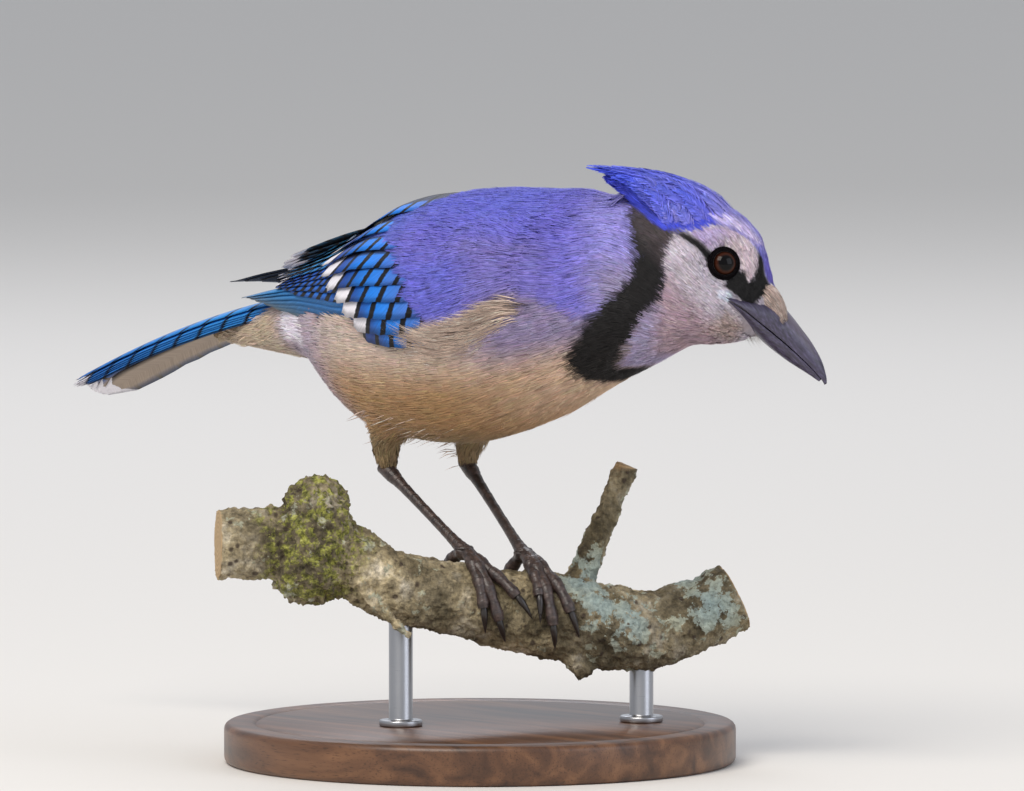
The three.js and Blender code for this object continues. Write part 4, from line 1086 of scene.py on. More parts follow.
def buildTail():
    group = vaneGroup()
    t = np.linspace(0, 1, 22)
    flare = 0.5 + 0.58 * t**0.8
    for side in (-1, 1):
        for order, (inner, outer, *shorts) in enumerate(rectrices):
            short = shorts[side > 0]
            lift = -tail["stack"] * (order + 1 if order else side > 0)
            middle = side * flare * (inner + outer) / 2
            length = t * (tail["length"] - short)
            centre = tailPoint(length, middle, lift - 0.2)
            half = side * 0.5
            across = unit(tailPoint(length, middle + half, lift) - tailPoint(length, middle - half, lift))
            along = unit(np.gradient(centre, axis=0))
            out = unit(np.cross(across, along))
            out = out * np.sign(out[:, 2:3])
            wide = (outer - inner) * flare * leaf(t, 0.4, 0.7, 0.9)
            outermost = order == len(rectrices) - 1
            tints = tones(tail["tints"]) * random.uniform(0.94, 1.06) * (0.25 if outermost else 1.15)
            # white tips on the far side; elsewhere the bars on top stay in line
            farTip = side > 0 and order > 1
            white = tail["farWhite"] if farTip else 1.0 + (4 - short) % tail["barPeriod"]
            bars = (white, tail["barPeriod"], 0.17, 200)
            place = lambda reach: tailPoint(length[:, None], middle[:, None] + side * reach, lift - 0.2)
            addVane(group, centre, across, out, wide, tints, bars, 0.9 if outermost else 0.1, place=place)
    # a few long coverts over the root of the tail
    for k in range(14):
        side, far = (-1 if k % 2 else 1), (k // 2) / 6
        length = 2 + 26 * (1 - 0.5 * far) * t
        breadth = np.full(len(t), side * far * 7.0)
        centre = tailPoint(length, breadth, 1.6 - 0.5 * far)
        across = unit(tailPoint(length, breadth + 0.5, 0) - tailPoint(length, breadth - 0.5, 0))
        out = np.array([[0.1, 0, 1.0]]) - across * (across[:, 2:3])
        wide = 6.5 * leaf(t, 0.2, 0.8)
        addVane(group, centre, across, unit(out), wide, tones(tail["covertTints"]), plain, 0.0)
    buildVanes("tail_feathers", group, tailMaterial, "flight_feathers", "tail")


buildTail()
print("tail")


# The crest: narrow vanes on a cone from the crown to its tip
def crestPoint(u, angle):
    centre, ahead, side, above, size = loftFrame(crest, np.clip(u, 0, 1))
    right, up = size[:, 0] * np.sin(angle), size[:, 1] * np.cos(angle)
    return fromHead(centre - side * right[:, None] + above * up[:, None])


crestRows = [
    {"count": 7, "spread": 1.2, "root": 0.4, "tip": 0.97, "fall": 0.14, "width": 2.8, "lift": (-1.8, -0.9)},
    {"count": 9, "spread": 1.5, "root": 0.3, "tip": 0.92, "fall": 0.12, "width": 3.0, "lift": (-1.6, -0.5)},
    {"count": 11, "spread": 1.65, "root": 0.2, "tip": 0.8, "fall": 0.1, "width": 3.2, "lift": (-1.6, -0.2)},
    {"count": 13, "spread": 1.7, "root": 0.12, "tip": 0.68, "fall": 0.08, "width": 3.2,
     "lift": (-1.5, 0.1)},
    {"count": 14, "spread": 1.75, "root": 0.04, "tip": 0.56, "fall": 0.05, "width": 3.4,
     "lift": (-1.5, 0.3)},
    {"count": 14, "spread": 1.8, "root": -0.02, "tip": 0.44, "fall": 0.02, "width": 3.4,
     "lift": (-1.4, 0.5)},
]


# The pale tones are a painted highlight, blended into the front rows of the crest over the crown
crestTones = {"deep": ("#5450c2", "#3f4ccc", "#4257d4"), "pale": ("#b3a8d2", "#8f8ad4", "#6a74d8")}


# Loose barbs that leave a crest feather's shaft and lie along it
def shaftBarbs(point, over, out, wide, tints):
    number = 46
    at = random.uniform(0.12, 0.93, number)
    rows = np.linspace(0, 1, len(point))
    pick = lambda values, x: np.stack([np.interp(np.clip(x, 0, 1), rows, axis) for axis in values.T], 1)
    side = random.choice([-1, 1], number)
    reach = random.uniform(0.14, 0.26, number)
    offShaft = side * np.interp(at, rows, wide) / 2
    sideways, outward = pick(over, at), pick(out, at)
    root = pick(point, at) + outward * 0.2
    middle = pick(point, at + reach * 0.5) + outward * 0.42 + sideways * (offShaft * 0.75)[:, None]
    tip = pick(point, at + reach) + outward * 0.3
    tip = tip + sideways * (offShaft * random.uniform(0.7, 1.3, number))[:, None]
    colour = np.stack([np.interp(at, [0, 0.5, 1], tints[:, k]) for k in range(3)], 1)
    colour = colour * np.exp(random.normal(0, 0.24, (number, 1)))
    return root, middle, tip, sideways, outward, 0.3 * random.uniform(0.7, 1.2, number), colour


def buildCrest():
    group, loose = vaneGroup(), []
    t = np.linspace(0, 1, 12)
    for row in crestRows:
        for i in range(row["count"]):
            share = 2 * i / (row["count"] - 1) - 1
            angle = share * row["spread"] * (1 - 0.2 * t) + random.uniform(-0.05, 0.05)
            root = row["root"] + 0.17 * share * share
            tip = row["tip"] - row["fall"] * share * share - random.uniform(0, 0.15)
            u = root + (tip - root) * t
            point = crestPoint(u, angle)
            over = unit(crestPoint(u, angle + 0.02) - crestPoint(u, angle - 0.02))
            along = unit(crestPoint(u + 0.01, angle) - crestPoint(u - 0.01, angle))
            out = unit(np.cross(over, along))
            middle = fromHead(loftFrame(crest, u)[0])
            out = out * np.sign((out * (point - middle)).sum(1))[:, None]
            rise = row["lift"][0] + (row["lift"][1] - row["lift"][0]) * np.minimum(1, 1.6 * t)
            wide = row["width"] * leaf(t, 0.12, 0.6, 0.45)
            # Feathers on the top of the crest are made up to a quarter brighter, a painted highlight
            high = 1 - abs(share)
            # the front rows are blended towards the pale tones, a painted highlight
            pale = np.clip((0.34 - row["root"]) / 0.36, 0, 1) * random.uniform(0.3, 1.0)
            tints = tones(crestTones["deep"]) * (0.85 + 0.25 * high) * random.uniform(0.8, 1.3)
            tints = tints * (1 - pale) + tones(crestTones["pale"]) * pale
            centre = point + out * rise[:, None]
            addVane(group, centre, over, out, wide, tints, plain, 0.0, thick=0.24)
            loose.append(shaftBarbs(centre, over, out, wide, tints))
    buildVanes("crest_feathers", group, crestMaterial, "head_plumage")
    *barbs, colour = [np.concatenate(x) for x in zip(*loose)]
    looseBarbs("coat_crest", "head_plumage", barbs, colour, [0.8, 1, 1, 1, 1.15], True, False)


buildCrest()
print("crest")


# Eyes and lids
def turnTo(axis):
    return Vector(axis).to_track_quat("Z", "Y").to_euler()


def settle(piece):
    only(piece)
    bpy.ops.object.transform_apply(location=True, rotation=True, scale=True)


# Cornea and iris: wet gloss over dark brown, with a black pupil and rim
eyeMaterial, add, shader = newMaterial(
    "glass_eye", Roughness=0.35, Coat_Roughness=0.02, Specular_IOR_Level=0.0, IOR=1.0, Coat_IOR=1.28,
)
gaze = add("Attribute", attribute_name="gaze")
fibres = add("TexNoise", {"Vector": add("TexCoord").outputs["Object"], "Scale": 2600.0})
inward = add("Math", gaze.outputs["Fac"], 0.015, operation="SUBTRACT")
wavy = add("Math", fibres, 0.03, inward, operation="MULTIPLY_ADD")
irisStops = [
    (0.0, "#050304"), (0.28, "#050304"), (0.31, "#200e07"), (0.4, "#3a1a0d"),
    (0.49, "#1c0b06"), (0.53, "#060405"), (1.0, "#060405"),
]
iris = add("ValToRGB", {"Fac": wavy}, stops=irisStops)
gloss = add("MapRange", gaze.outputs["Fac"], 0.35, 0.47, 1.0, 0.0)
feed(shader, {"Base Color": iris, "Coat Weight": gloss})

# Bare lid: thin dark grey skin, finely wrinkled
lidMaterial, add, shader = newMaterial("eyelid_skin", Roughness=0.95, Specular_IOR_Level=0.0)
lidNoise = add("TexNoise", {"Vector": add("TexCoord").outputs["Object"], "Scale": 2400.0})
lidTone = add("ValToRGB", {"Fac": lidNoise}, stops=[(0.3, "#070607"), (0.7, "#171416")])
lidBump = add("Bump", {"Strength": 0.5, "Distance": 0.0001, "Height": lidNoise})
feed(shader, {"Base Color": lidTone, "Normal": lidBump})

for side, name in ((-1, "right"), (1, "left")):
    axis = unit(headTurn @ (np.array(eye["gaze"]) * [1, side, 1]))
    socket = fromHead([[eye["ahead"], side * eye["side"], eye["above"]]])[0]
    centre = socket - axis * eye["sunk"]
    bpy.ops.object.select_all(action="DESELECT")
    bpy.ops.mesh.primitive_uv_sphere_add(segments=64, ring_count=48, radius=eye["radius"] * mm,
                                         location=centre * mm, rotation=turnTo(axis))
    ball = bpy.context.object
    ball.name = "eyeball_" + name
    settle(ball)
    bpy.ops.object.shade_smooth()
    ballCo = rowsOf(ball.data.vertices, "co") / mm - centre
    gazeAngle = np.arccos(np.clip(unit(ballCo) @ axis, -1, 1)) / (math.pi / 2)
    ballCo = ballCo * (1 + 0.04 * (1 - smoothstep(gazeAngle, 0.2, 0.6)))[:, None]
    movePoints(ball.data, ballCo + centre)
    paint(ball.data, "gaze", gazeAngle)
    ball.data.materials.append(eyeMaterial)
    mount(ball, "eye", "eye_" + name)
    bpy.ops.object.select_all(action="DESELECT")
    rings = []
    for major, minor, rise in eye["lids"]:
        bpy.ops.mesh.primitive_torus_add(major_segments=56, minor_segments=14,
                                         major_radius=major * mm, minor_radius=minor * mm,
                                         location=(socket + axis * rise) * mm, rotation=turnTo(axis))
        rings.append(bpy.context.object)
    for ring in rings:
        ring.select_set(True)
    lid = rings[0]
    bpy.context.view_layer.objects.active = lid
    bpy.ops.object.join()
    lid.name = "eyelid_" + name
    settle(lid)
    bpy.ops.object.shade_smooth()
    lid.data.materials.append(lidMaterial)
    mount(lid, "head_plumage")
print("eyes")

# The bill
billUpper = np.array([
    (5, 0, -4.9, 11.5, 0.7, 0.2), (8.5, 0, -3.9, 11.6, 2.2, 0.2), (12, 0, -3.2, 10.4, 4.0, 0.2),
    (15, 0, -2.85, 8.7, 5.5, 0.2), (18, 0, -2.5, 6.9, 6.3, 0.2), (21.5, 0, -2.1, 5.1, 5.9, 0.2),
    (25, 0, -1.75, 3.8, 5.2, 0.2), (29, 0, -1.45, 2.8, 4.4, 0.2), (33.5, 0, -1.3, 1.9, 3.1, 0.2),
    (37, 0, -1.4, 1, 1.5, 0.2), (38.8, 0, -1.6, 0.35, 0.4, 0.3),
])
billLower = np.array([
    (6.2, 0, -4.95, 11.2, 0.16, 0.5), (9.5, 0, -4.05, 11.2, 0.16, 1.5), (13, 0, -3.45, 9.7, 0.16, 2.5),
    (16, 0, -3.1, 8, 0.16, 3.0), (19, 0, -2.75, 6.2, 0.16, 3.2), (22.5, 0, -2.35, 4.5, 0.16, 3.2),
    (25.5, 0, -2.05, 3.4, 0.16, 3.0), (29, 0, -1.75, 2.5, 0.16, 2.6), (33.5, 0, -1.6, 1.65, 0.16, 1.6),
    (37.2, 0, -1.65, 0.6, 0.1, 0.7),
])


# Keratin: near-black with a slate cast, faint lengthwise lines, a soft polish, and a painted highlight that
# pales it towards the ridge
def hornFinish(name, dark, mid, light, ridgeHighlight):
    material, add, shader = newMaterial(name, Coat_Weight=0.3, Coat_Roughness=0.18)
    hornAt = add("Attribute", attribute_name="beak")
    hornXyz = add("SeparateXYZ", hornAt.outputs["Vector"])
    hornStretch = add("Mapping", {"Vector": hornAt.outputs["Vector"], "Scale": (0.12, 1.6, 1.6)})
    hornLines = add("TexNoise", {"Vector": hornStretch, "Scale": 1.3, "Detail": 5.0})
    hornSpots = add("TexNoise", {"Vector": hornAt.outputs["Vector"], "Scale": 1.1, "Detail": 3.0})
    hornTone = add("ValToRGB", {"Fac": hornLines}, stops=[(0.25, dark), (0.55, mid), (0.85, light)])
    # The upper side is mixed towards the paler tone, a painted highlight along the ridge
    ridge = add("MapRange", hornXyz.outputs[2], 1.0, 5.0, 0.0, 0.5)
    hornMix = add("Mix", {0: ridge, 6: hornTone, 7: ridgeHighlight}, **mixing)
    hornRough = add("MapRange", hornSpots, 0.0, 1.0, 0.22, 0.5)
    hornBump = add("Bump", {"Strength": 0.4, "Distance": 0.00012, "Height": hornLines})
    feed(shader, {"Base Color": hornMix, "Roughness": hornRough, "Normal": hornBump})
    return material


hornMaterial = hornFinish("bill_horn", "#26222c", "#413b54", "#665f80", "#a2969c")
clawMaterial = hornFinish("claw_horn", "#14100f", "#221b19", "#382f2b", "#3a322e")


def buildBill(name, sections, *nodes):
    points, faces = loft(sections, 110, 56)
    if name == "bill_upper_horn":
        for side in (-1, 1):
            gap = np.linalg.norm((points - [20.0, side * 4.6, 1.0]) / [1.7, 2.0, 0.8], axis=1)
            points[:, 1] -= side * 0.7 * (1 - smoothstep(gap, 0.3, 1))
    mount(makePiece(name, fromHead(points), faces, hornMaterial, True, {"beak": points}), "horn", *nodes)


buildBill("bill_upper_horn", billUpper, "bill_upper")
buildBill("bill_lower_horn", billLower, "bill_lower")

# Bristles over the nostrils and along the chin
bristleSets = {
    "nasal": {"number": 2200, "wide": 0.2, "tones": ("#f8ded4", "#dfc4b8", "#ae9488", "#fff0e8")},
    "chin": {"number": 130, "wide": 0.13, "tones": ("#5b5048", "#9b8d80")},
}


def nasalSections(side, shrink=0.0):
    return np.array([(9, side * 4, 2, 3 - shrink, 3.4 - shrink, 3.2 - shrink),
                     (13.5, side * 3.4, 1.8, 2.7 - shrink, 3.6 - shrink, 3 - shrink),
                     (17, side * 3.1, 1.7, 2 - shrink, 2.7 - shrink, 2 - shrink),
                     (20, side * 2.9, 1.3, 1.1 - shrink / 2, 1 - shrink / 2, 0.6)])


def onLoft(sections, t, angle, out):
    centre, ahead, side, above, size = loftFrame(sections, t)
    tall = np.where(np.sin(angle) > 0, size[:, 1], size[:, 2]) + out
    wide = (size[:, 0] + out) * np.cos(angle)
    return centre + side * wide[:, None] + above * (tall * np.sin(angle))[:, None]


def buildBristles():
    roots, middles, tips = [], [], []
    number = bristleSets["nasal"]["number"] // 2
    for side in (-1, 1):
        t = random.uniform(0.02, 0.72, number)
        angle = random.uniform(-0.9, math.pi + 0.9, number)
        step = random.uniform(0.26, 0.56, number)
        sway = random.normal(0, 0.18, number)
        roots.append(onLoft(nasalSections(side, 0.5), t, angle, -0.3))
        middles.append(onLoft(nasalSections(side), t + step * 0.5, angle + sway * 0.5, 0.15))
        end = onLoft(nasalSections(side), np.minimum(1, t + step), angle + sway, 0.25)
        tips.append(end + [0.6, 0, -0.1])
    chin = bristleSets["chin"]["number"]
    start = np.stack([random.uniform(10, 16, chin), random.uniform(-3.6, 3.6, chin), np.zeros(chin)], 1)
    start[:, 2] = -6.4 - 0.25 * (16 - start[:, 0]) + 0.12 * start[:, 1] ** 2
    onward, aside = random.uniform(3, 6.5, chin), random.normal(0, 0.5, chin)
    reach = np.stack([onward, aside, random.uniform(-2.4, 0.2, chin)], 1)
    roots.append(start)
    middles.append(start + reach * 0.55 - [0, 0, 0.3])
    tips.append(start + reach)
    root, middle, tip = [fromHead(np.vstack(x)) for x in (roots, middles, tips)]
    along = unit(tip - root)
    out = unit(middle - fromHead([[12, 0, -2]]))
    across = unit(np.cross(out, along))
    out = unit(np.cross(along, across))
    nasal = len(root) - chin
    wide = np.repeat([bristleSets["nasal"]["wide"], bristleSets["chin"]["wide"]], [nasal, chin])
    wide = wide * random.uniform(0.7, 1.3, len(root))
    nasalTones, chinTones = tones(bristleSets["nasal"]["tones"]), tones(bristleSets["chin"]["tones"])
    colour = np.vstack([nasalTones[random.integers(0, 4, nasal)], chinTones[random.integers(0, 2, chin)]])
    colour = colour * random.uniform(0.75, 1.15, (len(root), 1))
    barbs = root, middle, tip, across, out, wide
    looseBarbs("coat_bristles", "head_plumage", barbs, colour, [0.8, 1, 1, 1, 1.05], True, True)


buildBristles()


# Long pale barbs of the flank that lie over the low edge of each wing
def buildFlankBarbs():
    number, clumps, wisps = 1100, 22, 220
    parts = []
    for side in (-1, 1):
        clump = random.integers(0, clumps, number) / clumps
        start = -0.04 + 0.33 * clump + random.normal(0, 0.007, number)
        length = random.uniform(0.06, 0.14, number) * (1 - 0.3 * clump)
        v0 = -0.34 * random.uniform(0, 1, number) ** 1.4
        rise = random.normal(0.12, 0.03, number)
        rise = rise + random.normal(0, 0.02, clumps)[(clump * clumps).astype(int) % clumps]
        stations = []
        for share, high in ((0, -0.4), (0.5, 0.9), (1, 2.3)):
            u, v = start + length * share, v0 + rise * share
            point, along, across, outward = wingFrame(side, u, v)
            lift = high + (armLift(u, np.clip(v, 0, 1)) * (share > 0)) * 0.8
            place = point + outward * (lift + random.normal(0, 0.15, number))[:, None]
            if share == 0:
                place, normal = onSkin(place)
                place = place - normal * 0.3
            stations.append(overSkin(place, 1.3 * share - 0.3))
        parts.append((*stations, across, outward))
    # pale wisps that hang between the thighs
    fits = np.flatnonzero((turn > 140) & (faceT > 0.44) & (faceT < 0.62) & (faceCo[:, 2] > 70))
    chosen = random.choice(fits, wisps)
    normal = faceNormal[chosen]
    hang = -spine[1][faceSpine[chosen]] * 0.9 + normal * random.uniform(0.05, 0.22, (wisps, 1))
    hang = unit(hang + random.normal(0, 0.07, (wisps, 3)))
    span = random.uniform(5, 10, (wisps, 1))
    root = faceCo[chosen] - normal * 0.3
    middle = root + hang * span * 0.5 + normal * 0.9
    parts.append((root, middle, root + hang * span - [0, 0, 1.2], unit(np.cross(normal, hang)), normal))
    barbs = [np.vstack(x) for x in zip(*parts)]
    barbs.append(random.uniform(0.16, 0.32, len(barbs[0])))
    colour = tone("#e2c8b8") * np.exp(random.normal(-0.05, 0.3, (len(barbs[0]), 1)))
    looseBarbs("coat_flank_barbs", "body_plumage", barbs, colour, [0.55, 0.95, 1, 0.95, 1.1], False, True)


buildFlankBarbs()
print("bill and bristles")

# The perch
branch = np.array([(x, y, z, r, r, r) for x, y, z, r in (
    (-31, -60, 56, 8.8), (-18, -41, 55.5, 8.6), (-11, -32, 50.5, 8.8), (-5, -22, 44.5, 9),
    (4.3, -7, 40.5, 9.3), (16, 12, 36.5, 11), (27, 30, 33, 10.3), (34, 40.5, 36, 9.2), (40, 50, 41.5, 9))])
knob = np.array([
    (-18.2, -41.2, 41, 4, 4, 4), (-18, -41, 45.5, 9.5, 9, 9), (-17.4, -40.4, 53, 12, 10.6, 10.6),
    (-17, -40, 61, 11.5, 9.8, 9.8), (-16.6, -39.6, 68.5, 8, 7, 7), (-16.4, -39.4, 72.6, 3, 3, 3),
])
twig = tube([(15.5, 17, 40), (17, 19, 46.5), (20, 22, 58), (24.6, 27.4, 74.5)], [4.8, 4, 3.3, 3.1])
stubs = [tube([(-8, -34, 47), (-3, -33, 42), (0.5, -29.5, 37), (3.4, -26, 32.8)], [2, 1.6, 1.4, 1.1]),
         tube([(17, 9, 33), (20.5, 11, 28.5), (23.8, 14.5, 22.4)], [3.2, 2.9, 2.5])]
barkSizes = {"voxel": 0.62, "ridge": 0.6, "grain": 0.42, "chips": 0.5, "knobChips": 0.5, "moss": 1.1}


def barkSwell(t, angle):
    return 1 + 0.03 * np.sin(3 * angle + 19 * t) + 0.025 * np.sin(5 * angle - 31 * t + 1)


limbs = [loft(branch, 120, 48, 0, barkSwell), loft(knob, 30, 40), loft(twig, 40, 24)]
perch = makePiece("perch_bark", *together(limbs + [loft(stub, 24, 16) for stub in stubs]))
applyModifier(perch, "REMESH", mode="VOXEL", voxel_size=barkSizes["voxel"] * mm)
applyModifier(perch, "SMOOTH", factor=0.5, iterations=3)
perchCo, perchNormal = rowsOf(perch.data.vertices, "co") / mm, rowsOf(perch.data.vertices, "normal")
nearKnob = 1 - smoothstep(np.linalg.norm((perchCo - [-17.5, -40.5, 58]) / [1, 1, 1.3], axis=1), 12, 19)
branchSpine = loftFrame(branch, np.linspace(0, 1, 200))
gapTo = np.linalg.norm(perchCo[:, None] - branchSpine[0][None], axis=2)
ridges = np.array([noise.fractal(Vector(p) * 0.16, 0.6, 2.1, 4) for p in perchCo])
grain = np.array([noise.fractal(Vector(p) * 0.62, 0.7, 2.1, 3) for p in perchCo])
chipShift, mossShift = Vector((0, 5, 0)), Vector((9, 0, 0))
chips = [noise.ridged_multi_fractal(Vector(p) * 0.3 + chipShift, 0.9, 2.2, 3, 1.0, 2.0) for p in perchCo]
chips = np.array(chips) - np.mean(chips)
moss = np.array([noise.fractal(Vector(p) * 0.33 + mossShift, 0.8, 2.0, 3) for p in perchCo])
endCut = np.zeros(len(perchCo))
for end, out in ((0, -1), (-1, 1)):
    beyond = ((perchCo - branchSpine[0][end]) * branchSpine[1][end] * out).sum(1)
    facing = (perchNormal * branchSpine[1][end] * out).sum(1)
    endCut = np.maximum(endCut, (beyond > -0.9) * smoothstep(facing, 0.3, 0.7))
twigCut = smoothstep(perchCo[:, 2], 73.2, 73.9) * (perchCo[:, 0] > 10)
endCut = np.maximum(endCut, twigCut)
relief = ridges * barkSizes["ridge"] + grain * barkSizes["grain"] + chips * barkSizes["chips"]
relief = relief + np.maximum(-0.2, moss) * barkSizes["moss"] * nearKnob
relief = relief + chips * barkSizes["knobChips"] * nearKnob
relief = relief * (1 - 0.85 * endCut)
perchCo = perchCo + perchNormal * (relief - 0.25)[:, None]
movePoints(perch.data, perchCo)
crustAt = np.array([
    (28, 15, 40), (31, 22, 36), (22, 15, 45), (17, 20, 47), (44, 38, 40), (30, 40, 46), (14, 30, 34),
])
crustGap = np.linalg.norm(perchCo[:, None] - crustAt[None], axis=2) / 7.5
crust = np.exp(-(crustGap**2)).max(1) * (1 - endCut)
paint(perch.data, "crust", crust)
paint(perch.data, "wood", np.stack([gapTo.min(1), endCut, nearKnob], 1))

# Young bark: grey-brown with silvery film, dark lenticels about 1 mm long, crusts of lichen, moss on the
# burl, pale cut ends with rings
barkMaterial, add, shader = newMaterial("tree_bark", Roughness=0.9)
barkAt = add("TexCoord").outputs["Object"]
woodAt = add("SeparateXYZ", add("Attribute", attribute_name="wood").outputs["Vector"])
patches = add("TexNoise", {"Vector": barkAt, "Scale": 95.0, "Detail": 6.0, "Roughness": 0.62})
speckle = add("TexNoise", {"Vector": barkAt, "Scale": 620.0, "Detail": 5.0, "Roughness": 0.7})
lenticels = add("TexVoronoi", {"Vector": barkAt, "Scale": 260.0, "Randomness": 1.0})
barkBase = add(
    "ValToRGB", {"Fac": patches},
    stops=[(0.3, "#4a402f"), (0.42, "#7b6f54"), (0.55, "#ab9d7e"), (0.7, "#dcd2bd")],
)
barkFine = add("MapRange", speckle, 0.3, 0.7, 0.4, 1.5)
broad = add("TexNoise", {"Vector": barkAt, "Scale": 42.0, "Detail": 3.0})
barkBroad = add("MapRange", broad, 0.36, 0.64, 0.5, 1.25)
barkShade = add("Math", barkFine, barkBroad, operation="MULTIPLY")
barkTone = add("Mix", {0: 1.0, 6: barkBase, 7: barkShade}, **multiplying)
dots = add("MapRange", lenticels.outputs["Distance"], 0.14, 0.24, 0.8, 0.0)
dotted = add("Mix", {0: dots, 6: barkTone, 7: "#3a2c25"}, **mixing)
lichenNoise = add("TexNoise", {"Vector": barkAt, "Scale": 170.0, "Detail": 7.0, "Roughness": 0.7})
crustShare = add("Attribute", attribute_name="crust").outputs["Fac"]
lichenLevel = add("Math", crustShare, 0.17, lichenNoise, operation="MULTIPLY_ADD")
lichenMask = add("MapRange", lichenLevel, 0.585, 0.61, 0.0, 0.9)
crustTone = add("Mix", {0: crustShare, 6: "#adae98", 7: "#9badab"}, **mixing)
crustGrain = add("Mix", {0: 0.8, 6: crustTone, 7: barkFine}, **multiplying)
lichened = add("Mix", {0: lichenMask, 6: dotted, 7: crustGrain}, **mixing)
mossNoise = add("TexNoise", {"Vector": barkAt, "Scale": 330.0, "Detail": 6.0, "Roughness": 0.75})
mossTone = add(
    "ValToRGB", {"Fac": speckle},
    stops=[(0.32, "#2b2a14"), (0.46, "#6d6d36"), (0.58, "#a3a34c"), (0.72, "#cfd083")],
)
mossShare = add("Math", woodAt.outputs[2], add("MapRange", mossNoise, 0.48, 0.54), operation="MULTIPLY")
mossed = add("Mix", {0: mossShare, 6: lichened, 7: mossTone}, **mixing)
ringPhase = add("Math", add("Math", woodAt.outputs[0], 5.5, operation="MULTIPLY"), operation="SINE")
ringTone = add("MapRange", ringPhase, -1.0, 1.0, 0.78, 1.05)
endTone = add("Mix", {0: 1.0, 6: "#c3a67e", 7: ringTone}, **multiplying)
sawn = add("Mix", {0: woodAt.outputs[1], 6: mossed, 7: endTone}, **mixing)
barkHeight = add("Math", speckle, mossNoise, operation="ADD")
barkBump = add("Bump", {"Strength": 1.0, "Distance": 0.0008, "Height": barkHeight})
feed(shader, {"Base Color": sawn, "Normal": barkBump})
perch.data.materials.clear()
perch.data.materials.append(barkMaterial)
mount(perch, "bark", "perch_branch", "perch_twig", "perch_stub_left", "perch_stub_right")
print("perch", len(perchCo))

# Legs, toes and claws
footSizes = {"toeRadius": 1.75, "scutes": 13, "toeScutes": 10, "claw": 6.4, "hindClaw": 7.4}
toes = {
    "right": {"outer": (4.5, 92), "middle": (8, 104), "inner": (10.6, 70), "hind": (-5, -88)},
    "left": {"outer": (2.2, 66), "middle": (5.5, 98), "inner": (8.5, 80), "hind": (-4, -88)},
}

# Horny scutes, dark brownish grey with a dull polish, darkened in the creases by painted shade
scaleMaterial, add, shader = newMaterial(
    "scaled_leg_skin", Roughness=0.45, Coat_Weight=0.3, Coat_Roughness=0.25,
)
limbAt = add("SeparateXYZ", add("Attribute", attribute_name="limb").outputs["Vector"])
legAt = add("TexCoord").outputs["Object"]
legMottle = add("TexNoise", {"Vector": legAt, "Scale": 700.0, "Detail": 4.0})
legTone = add(
    "ValToRGB", {"Fac": legMottle}, stops=[(0.3, "#251c1b"), (0.55, "#40322e"), (0.75, "#60504a")],
)
# the creases between the scutes are darkened, a painted shade
crease = add("MapRange", add("Math", limbAt.outputs[0], operation="FRACT"), 0.0, 0.13, 0.7, 0.0)
creased = add("Mix", {0: crease, 6: legTone, 7: "#171213"}, **mixing)
granules = add("TexVoronoi", {"Vector": legAt, "Scale": 2100.0})
legBump = add("Bump", {"Strength": 0.6, "Distance": 0.00015, "Height": granules.outputs["Distance"]})
feed(shader, {"Base Color": creased, "Normal": legBump})

branchSteps = np.linspace(0, 1, 501)
branchFine = loftFrame(branch, branchSteps)
branchLength = np.linalg.norm(np.diff(branchFine[0], axis=0), axis=1).sum()


def nearestOnBranch(point):
    return float(branchSteps[np.linalg.norm(branchFine[0] - point, axis=1).argmin()])


# A toe's line over the branch: along it in millimetres, and round it to an angle from the top
def toePoints(foot, along, wrap, t):
    start = nearestOnBranch(foot)
    centre, ahead, side, above, size = loftFrame(branch, start)
    base = foot - centre[0]
    first = math.atan2(-base @ side[0], base @ above[0])
    high = math.hypot(base @ side[0], base @ above[0]) - size[0, 1]
    turn = first + (math.radians(wrap) - first) * t
    off = high + (footSizes["toeRadius"] * 0.8 - high) * np.minimum(1, t * 2.5)
    centre, ahead, side, above, size = loftFrame(branch, start + along * t / branchLength)
    up, out = np.cos(turn) * (size[:, 1] + off), np.sin(turn) * (size[:, 0] + off)
    return centre + above * up[:, None] - side * out[:, None]


# A limb as a tube whose scutes stand out in steps along it
def limb(points, radii, rings, sides, scutes, height=0.09):
    def step(t, angle):
        phase = (t * scutes) % 1
        return 1 + height * (0.5 - phase) * (0.35 + 0.65 * (np.sin(angle) > -0.3))
    place, faces = loft(tube(points, radii), rings, sides, 0, step)
    along = np.concatenate([np.repeat(np.linspace(0, scutes, rings), sides), [0, scutes]])
    return place, faces, along


